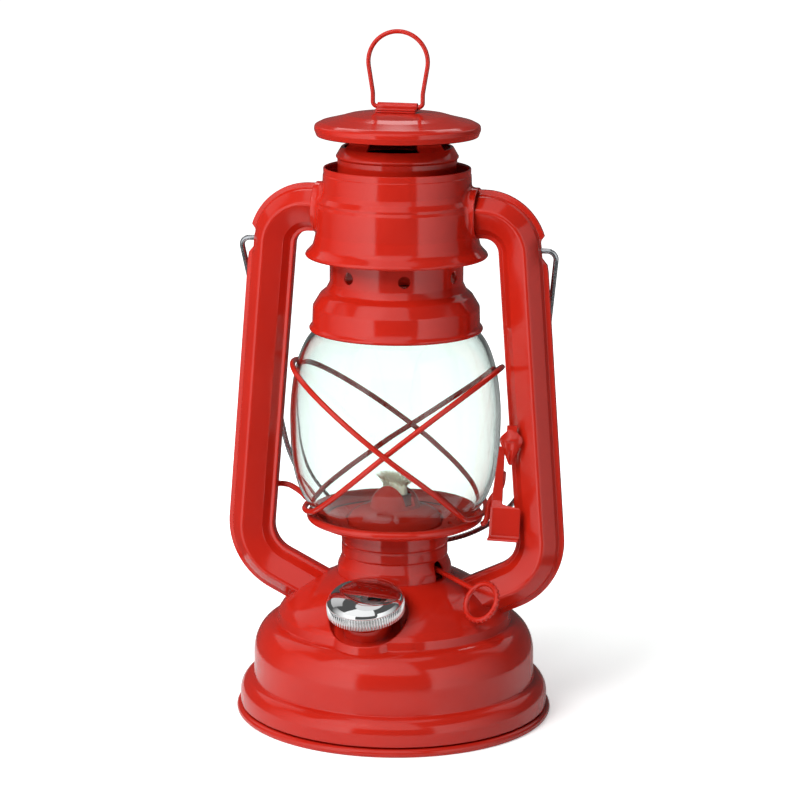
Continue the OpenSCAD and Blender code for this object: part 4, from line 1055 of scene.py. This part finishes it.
# Hood bell, chimney and spring
# The bell is spun steel with a rolled lip and a ring of vent holes; its neck slides in the chamber. The
# chimney tube joins it to the crown, and a coil of spring wire between bell and baffle pushes the hood
# down on the globe.
bell_z, flange_z, bell_r, bell_neck, hood_t = 142.0, 169.2, 29.85, 23.85, 0.7
bell_line = np.vstack([
    arc((bell_r + 0.45, bell_z), 0.8, 0.8, -200, 60, 14)[6:],
    rounded([(bell_r + 0.2, bell_z + 1.6), (bell_r, bell_z + 8, 2.2), (bell_r - 2.6, bell_z + 12.3, 3.5),
             (bell_neck + 1.3, bell_z + 14.0, 1.8), (bell_neck, bell_z + 16.6, 2.0),
             (bell_neck, flange_z - 0.1, 0.3), (16.6, flange_z - 0.1)], 7)])
bell = plain("hood_bell_spun", *lathe(sheet(bell_line, hood_t), 200, True), enamel)
vents, vent_r, vent_z = 7, 2.15, bell_z + 20.3
vent = arc((0, vent_z), vent_r, vent_r, 0, 360, 32)[:-1]
pierced(bell, prism(vent, bell_neck - 3, bell_neck + 3, "X"), vents, -70)
settle(bell, "hood", "hood_bell")
chimney_line = [(16.5, 166.2), (16.5, 203.4), (16.2, 203.5), (15.9, 203.4), (15.9, 166.2), (16.2, 166.1)]
# The chimney tube is near black: painted shade for the dark flue that the crown's windows look into.
flue_shade_black = polished_plate("sooted_steel", "070606", 0.7, 0.9, 3)
piece("chimney_tube_rolled", *lathe(chimney_line, 128, True), "hood", flue_shade_black, "chimney_tube")
coil_r, coil_wire, coils, coil_low, coil_high = 20.0, 0.6, 5, 169.9, 190.8
coil = [(coil_r * math.cos(2 * math.pi * coils * t), coil_r * math.sin(2 * math.pi * coils * t),
         coil_low + (coil_high - coil_low) * t) for t in np.linspace(0, 1, coils * 48 + 1)]
spring = piece("hood_spring_coil", *swept(coil, coil_wire, sides=10), "frame", steel, "hood_spring",
               "bare_steel", 80)
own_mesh(spring)

# Crown and canopy
# The crown is a stepped ring with four windows that let the hot air out; the canopy is a shallow pressed
# dish over it with a turned-down edge. Both are red, and the windows look into the dark flue.
crown_z, crown_r, crown_wall, canopy_z, canopy_top, canopy_r = 202.9, 21.7, 18.0, 210.9, 219.05, 29.55
crown_line = rounded([
    (crown_r - 0.5, crown_z - 7), (crown_r - 0.5, crown_z - 0.3, 0.3), (crown_r + 0.2, crown_z + 0.5, 0.8),
    (crown_r - 0.9, crown_z + 2.4, 1.2), (crown_r - 1.8, crown_z + 3.9, 1),
    (crown_wall + 0.4, crown_z + 5.4, 1), (crown_wall, crown_z + 7.2, 1), (crown_wall, canopy_top - 2.2)], 5)
crown = plain("crown_pierced", *lathe(sheet(crown_line, hood_t), 180, True), enamel)
window, window_in, window_out = 56, 14.8, 23
pane = np.vstack([arc((0, 0), window_out, window_out, -window / 2, window / 2, 18),
                  arc((0, 0), window_in, window_in, window / 2, -window / 2, 18)])
pierced(crown, prism(pane, crown_z + 4.0, canopy_top - 4.7, "Z"), 4, -82)
settle(crown, "hood", "crown")
canopy_line = rounded([
    (canopy_r - 0.85, canopy_z), (canopy_r - 0.1, canopy_z + 2.0, 1.5), (canopy_r - 0.2, canopy_z + 3.6, 1.2),
    (canopy_r - 2.4, canopy_z + 4.7, 2), (21.0, canopy_top - 1.95, 6), (17.6, canopy_top - 0.95, 5),
    (9.0, canopy_top - 0.05, 12), (0, canopy_top)], 7)
piece("canopy_pressed", *lathe(sheet(canopy_line, hood_t), 200), "hood", enamel, "canopy")

# Lifting ring and its strap
# A bow of wire that folds down on the canopy. A strip of sheet is rolled round its straight foot and
# spot-welded to the canopy.
strap_l, strap_t, hinge_z, ring_wire = 14.4, 0.7, 220.85, 0.8
strap_line = np.vstack([
    [[-4.2, canopy_top + strap_t / 2]],
    bowed((-2.6, canopy_top + strap_t / 2), (-0.9, canopy_top + 0.5), 0, 2),
    arc((0, hinge_z), 1.2, 1.2, -60, 200, 22),
    [[-1.5, hinge_z - 1.1], [-2.6, canopy_top + 1.05], [-4.1, canopy_top + 1.05]]])
strap_verts = [(x, y, z) for y, z in strap_line for x in np.linspace(-strap_l / 2, strap_l / 2, 7)]
strap = plain("ring_strap_rolled", strap_verts, grid_faces(len(strap_line), 7), enamel)
thickened(strap, 0.6, 0.15, 0)
settle(strap, "hood", "ring_strap")


def turned(x=0, y=0, z=0):
    """Turn about X, then Y, then Z, in degrees."""
    return (Matrix.Rotation(math.radians(z), 4, "Z") @ Matrix.Rotation(math.radians(y), 4, "Y")
            @ Matrix.Rotation(math.radians(x), 4, "X"))


def moved(x, y, z):
    """A move without a turn."""
    return Matrix.Translation((x, y, z))


def bent(steps, bend_mm=0.7):
    """Middle line of a wire bent in the XZ plane from the origin up Z; each step is a length, a turn in
    degrees and a bend radius."""
    here, heading, line = np.zeros(2), 0.0, [np.zeros(2)]
    for length, turn, radius in steps:
        here = here + length * np.array([math.sin(heading), math.cos(heading)])
        line.append(here)
        if turn:
            turn = math.radians(turn)
            side = math.copysign(1, turn)
            centre = here + side * radius * np.array([math.cos(heading), -math.sin(heading)])
            count = max(4, int(abs(turn) * radius / bend_mm), int(math.degrees(abs(turn)) / 7))
            for k in range(1, count + 1):
                a = heading + turn * k / count
                line.append(centre - side * radius * np.array([math.cos(a), -math.sin(a)]))
            heading += turn
            here = line[-1]
    return np.array([(p[0], 0, p[1]) for p in line])


ring_r, ring_h, ring_corner, ring_neck, ring_waist = 10.7, 26.4, 1.6, 2.4, 8.0
ring_foot = strap_l / 2 + 0.2
ring_in, ring_up = ring_foot + ring_corner + ring_waist, ring_h - ring_r - ring_corner - ring_neck
slim = math.degrees(math.atan2(ring_up, ring_in)
                    - math.acos((ring_r + ring_waist) / math.hypot(ring_in, ring_up)))
ring_side = ring_up * math.cos(math.radians(slim)) - ring_in * math.sin(math.radians(slim))
ring_line = bent([(2 * ring_foot, -90, ring_corner), (ring_neck, slim, ring_waist),
                  (ring_side, -180 - 2 * slim, ring_r), (ring_side, slim, ring_waist),
                  (ring_neck, -90, ring_corner)])
ring_line = placed(ring_line, moved(-ring_foot, 0, hinge_z) @ turned(y=90))
piece("lifting_ring_wire", *swept(ring_line, ring_wire, True), "ring", enamel, "lifting_ring", crease=80)

# Bail
# Bright galvanised steel wire bent to a long bow. Its two ends turn in through the notches of the tubes'
# seams, and it hangs loosely behind the lantern.
ear_out, bail_wire, bail_bow, bail_drop, bail_lean, bail_bend, bail_in = 3.0, 0.95, 47.6, 74.4, 15, 3.0, 3.2
bail_x = ear_x + ear_out + 2.4
slant = math.acos(bail_bow / math.hypot(bail_x, bail_drop)) - math.atan2(bail_drop, bail_x)
bail_cut = bail_bend * math.tan((math.pi / 2 + slant) / 2)
bail_leg = bail_drop * math.cos(slant) + bail_x * math.sin(slant) - bail_cut
bail_turn = 90 + math.degrees(slant)
bail_end = bail_x - ear_x + bail_in - bail_cut
bail_line = bent([(bail_end, bail_turn, bail_bend), (bail_leg, 360 - 2 * bail_turn, bail_bow),
                  (bail_leg, bail_turn, bail_bend), (bail_end, 0, 0)])
at_ears = moved(0, 0, ear_z) @ turned(x=bail_lean) @ moved(ear_x - bail_in, 0, 0) @ turned(y=90)
bail_line = placed(bail_line, at_ears)
piece("bail_bow_wire", *swept(bail_line, bail_wire), "bail_wire", steel, "bail", "bare_steel", 80)

# Wick raiser
# A wire shaft that slopes out of the collar's slot; its end is bent into a ring knob with a notched rim.
# It turns in the burner's lugs and its wheels push the wick.
shaft_r, shaft_l, shaft_in, knob_r, knob_wire, knob_drop, knob_roll = 0.95, 44.6, 7.5, 6.7, 0.95, 2.7, 30
at_shaft = at_wick @ moved(0, 4.45, 57.8) @ turned(y=8)
at_knob = at_shaft @ turned(x=-knob_roll) @ moved(shaft_l, 0, -knob_drop) @ turned(x=90)
shaft_end = shaft_l - math.sqrt(knob_r ** 2 - knob_drop ** 2)
shaft_line = [(x, 0, 0) for x in np.linspace(-shaft_in, shaft_end + 0.3, 24)]
knob_line = [(knob_r * math.cos(a), knob_r * math.sin(a), 0) for a in np.linspace(0, 2 * math.pi, 73)]
shaft_verts, shaft_faces = swept(placed(shaft_line, at_shaft), shaft_r)
knob_verts, knob_faces = swept(placed(knob_line, at_knob), knob_wire, True)
shaft_faces += [[len(shaft_verts) + i for i in f] for f in knob_faces]
piece("wick_shaft_and_knob", np.vstack([shaft_verts, knob_verts]), shaft_faces, "wick_raiser", enamel,
      "wick_shaft", crease=80)
notch = plain("notch_shape", *lathe([(0, -0.8), (0.5, -0.55), (0.68, 0), (0.5, 0.55), (0, 0.8)], 8))
knob_rim = run_tree(plain("knob_notched_rim", [], []), ring_of_copies, notch,
                    Count=26, Radius=(knob_r + 0.6) * MM, Finish=enamel)
knob_rim.data.transform(in_metres(at_knob))
smooth(knob_rim.data, 80)
settle(knob_rim, "wick_raiser")

# Studio
# A white paper sweep that glows by itself as painted light: the glow is weaker near the lantern, so that the
# lamps' shadow shows there, rises to burn out to white further out, and is faint for bounced light. Soft
# lights overhead and in front, and bright walls left, right and behind. Towards the camera the room is dark,
# which the enamel mirrors as a deep red patch.
paper = bpy.data.materials.new("white_paper_sweep")
tree = emptied(paper)
spot = add_node(tree, "ShaderNodeTexCoord").outputs["Object"]
away = add_node(tree, "ShaderNodeVectorMath", {0: spot}, operation="LENGTH")
# Painted light: the paper's own glow, 0.52 near the lantern, rising to 1.0 from 0.26 m out.
painted_glow_by_distance = add_node(tree, "ShaderNodeMapRange",
                {"Value": away.outputs["Value"], "From Min": 0.06, "From Max": 0.26, "To Min": 0.52,
                 "To Max": 1.0})
matt = add_node(tree, "ShaderNodeBsdfDiffuse", {"Color": linear("F6F6F6")})
path = add_node(tree, "ShaderNodeLightPath").outputs
bounced = add_node(tree, "ShaderNodeMath", {0: path["Glossy Depth"], 1: path["Diffuse Depth"]},
                   operation="ADD", use_clamp=True)
painted_glow_strength = add_node(tree, "ShaderNodeMix",
                  {"Factor": bounced.outputs[0], "A": painted_glow_by_distance.outputs["Result"], "B": 0.05}, data_type="FLOAT")
glow = add_node(tree, "ShaderNodeEmission", {"Color": linear("FFFFFF"), "Strength": painted_glow_strength.outputs["Result"]})
both = add_node(tree, "ShaderNodeAddShader", {0: matt.outputs[0], 1: glow.outputs[0]})
add_node(tree, "ShaderNodeOutputMaterial", {"Surface": both.outputs[0]})
floor = plain("studio_floor", *lathe([(135, 0), (0.1, 0)], 96), paper)
sweep = plain("studio_sweep", *lathe([(6000, 0), (135, 0)], 96), paper)
sweep.visible_glossy = False

world = bpy.data.worlds.new("white_studio")
bpy.context.scene.world = world
tree = emptied(world)
path = add_node(tree, "ShaderNodeLightPath").outputs
level = 1.0
for depth, dim in (("Glossy Depth", 0.1), ("Diffuse Depth", 0.06)):
    bounce = add_node(tree, "ShaderNodeMath", {0: path[depth], 1: 1.0}, operation="MINIMUM")
    level = add_node(tree, "ShaderNodeMix", {"Factor": bounce.outputs[0], "A": level, "B": dim},
                     data_type="FLOAT").outputs["Result"]
glow = add_node(tree, "ShaderNodeBackground", {"Color": linear("FFFFFF"), "Strength": level})
add_node(tree, "ShaderNodeOutputWorld", {"Surface": glow.outputs[0]})


def lit_wall(name, start, end, low, high, bright, dim, radius=1600, top_radius=1600):
    """A curved white wall between two directions in degrees, its brightness changing from start to end; only
    mirroring surfaces see it."""
    turn = np.radians(np.linspace(start, end, 25))
    verts = [(r * math.sin(a), -r * math.cos(a), z)
             for r, z in ((radius, low), (top_radius, high)) for a in turn]
    shine = bpy.data.materials.new(name)
    tree = emptied(shine)
    given = add_node(tree, "ShaderNodeAttribute", attribute_name="level")
    light = add_node(tree, "ShaderNodeEmission",
                     {"Color": linear("FFFFFF"), "Strength": given.outputs["Fac"]})
    add_node(tree, "ShaderNodeOutputMaterial", {"Surface": light.outputs[0]})
    made = plain(name, verts, grid_faces(2, 25), shine)
    level = made.data.attributes.new("level", "FLOAT", "POINT")
    level.data.foreach_set("value", np.tile(np.linspace(bright, dim, 25), 2))
    made.visible_camera = made.visible_transmission = made.visible_shadow = made.visible_diffuse = False


view_turn = 13.407
lit_wall("left_wall", view_turn - 30, view_turn - 108, -700, 1300, 2.0, 0.1)
lit_wall("right_wall", view_turn + 30, view_turn + 104, -700, 1300, 1.5, 0.1)
lit_wall("front_wall", view_turn - 70, view_turn + 22, 780, 1900, 1.2, 1.1, top_radius=600)
lit_wall("ceiling", 0, 360, 1900, 1910, 0.9, 0.9, 600, 10)
lit_wall("back_wall", view_turn + 156, view_turn + 204, 1350, 2200, 2.2, 2.2)
lit_wall("left_back_wall", view_turn - 108, view_turn - 145, 750, 2200, 0.5, 0.8)
lit_wall("right_back_wall", view_turn + 108, view_turn + 145, 750, 2200, 0.5, 0.8)


def soft_light(name, spot, target, width, height, power):
    """A soft box that lights the lantern from a spot and shows in no mirror."""
    lamp = bpy.data.lights.new(name, "AREA")
    lamp.shape, lamp.size, lamp.size_y, lamp.energy = "RECTANGLE", width, height, power
    made = bpy.data.objects.new(name, lamp)
    made.location = spot
    made.rotation_euler = (Vector(target) - Vector(spot)).to_track_quat("-Z", "Y").to_euler()
    made.visible_camera = made.visible_transmission = made.visible_glossy = False
    bpy.context.scene.collection.objects.link(made)


soft_light("overhead_softbox", (-0.3, 0.1, 1.25), (0, 0, 0.12), 0.8, 0.6, 4)
soft_light("key_light", (-0.55, -1.05, 1.1), (0, 0, 0.1), 0.8, 0.8, 23)

scene = bpy.context.scene
scene.view_settings.view_transform = "Standard"
lens = bpy.data.cameras.new("photo_camera")
lens.sensor_width, lens.lens = 36, 125.7
camera = bpy.data.objects.new("photo_camera", lens)
camera.location = (0.2289, -0.9535, 0.3339)
view_down, view_roll = 12.569, 0.43
camera.rotation_euler = (turned(z=view_turn) @ turned(x=90 - view_down) @ turned(z=view_roll)).to_euler()
scene.collection.objects.link(camera)
scene.camera = camera
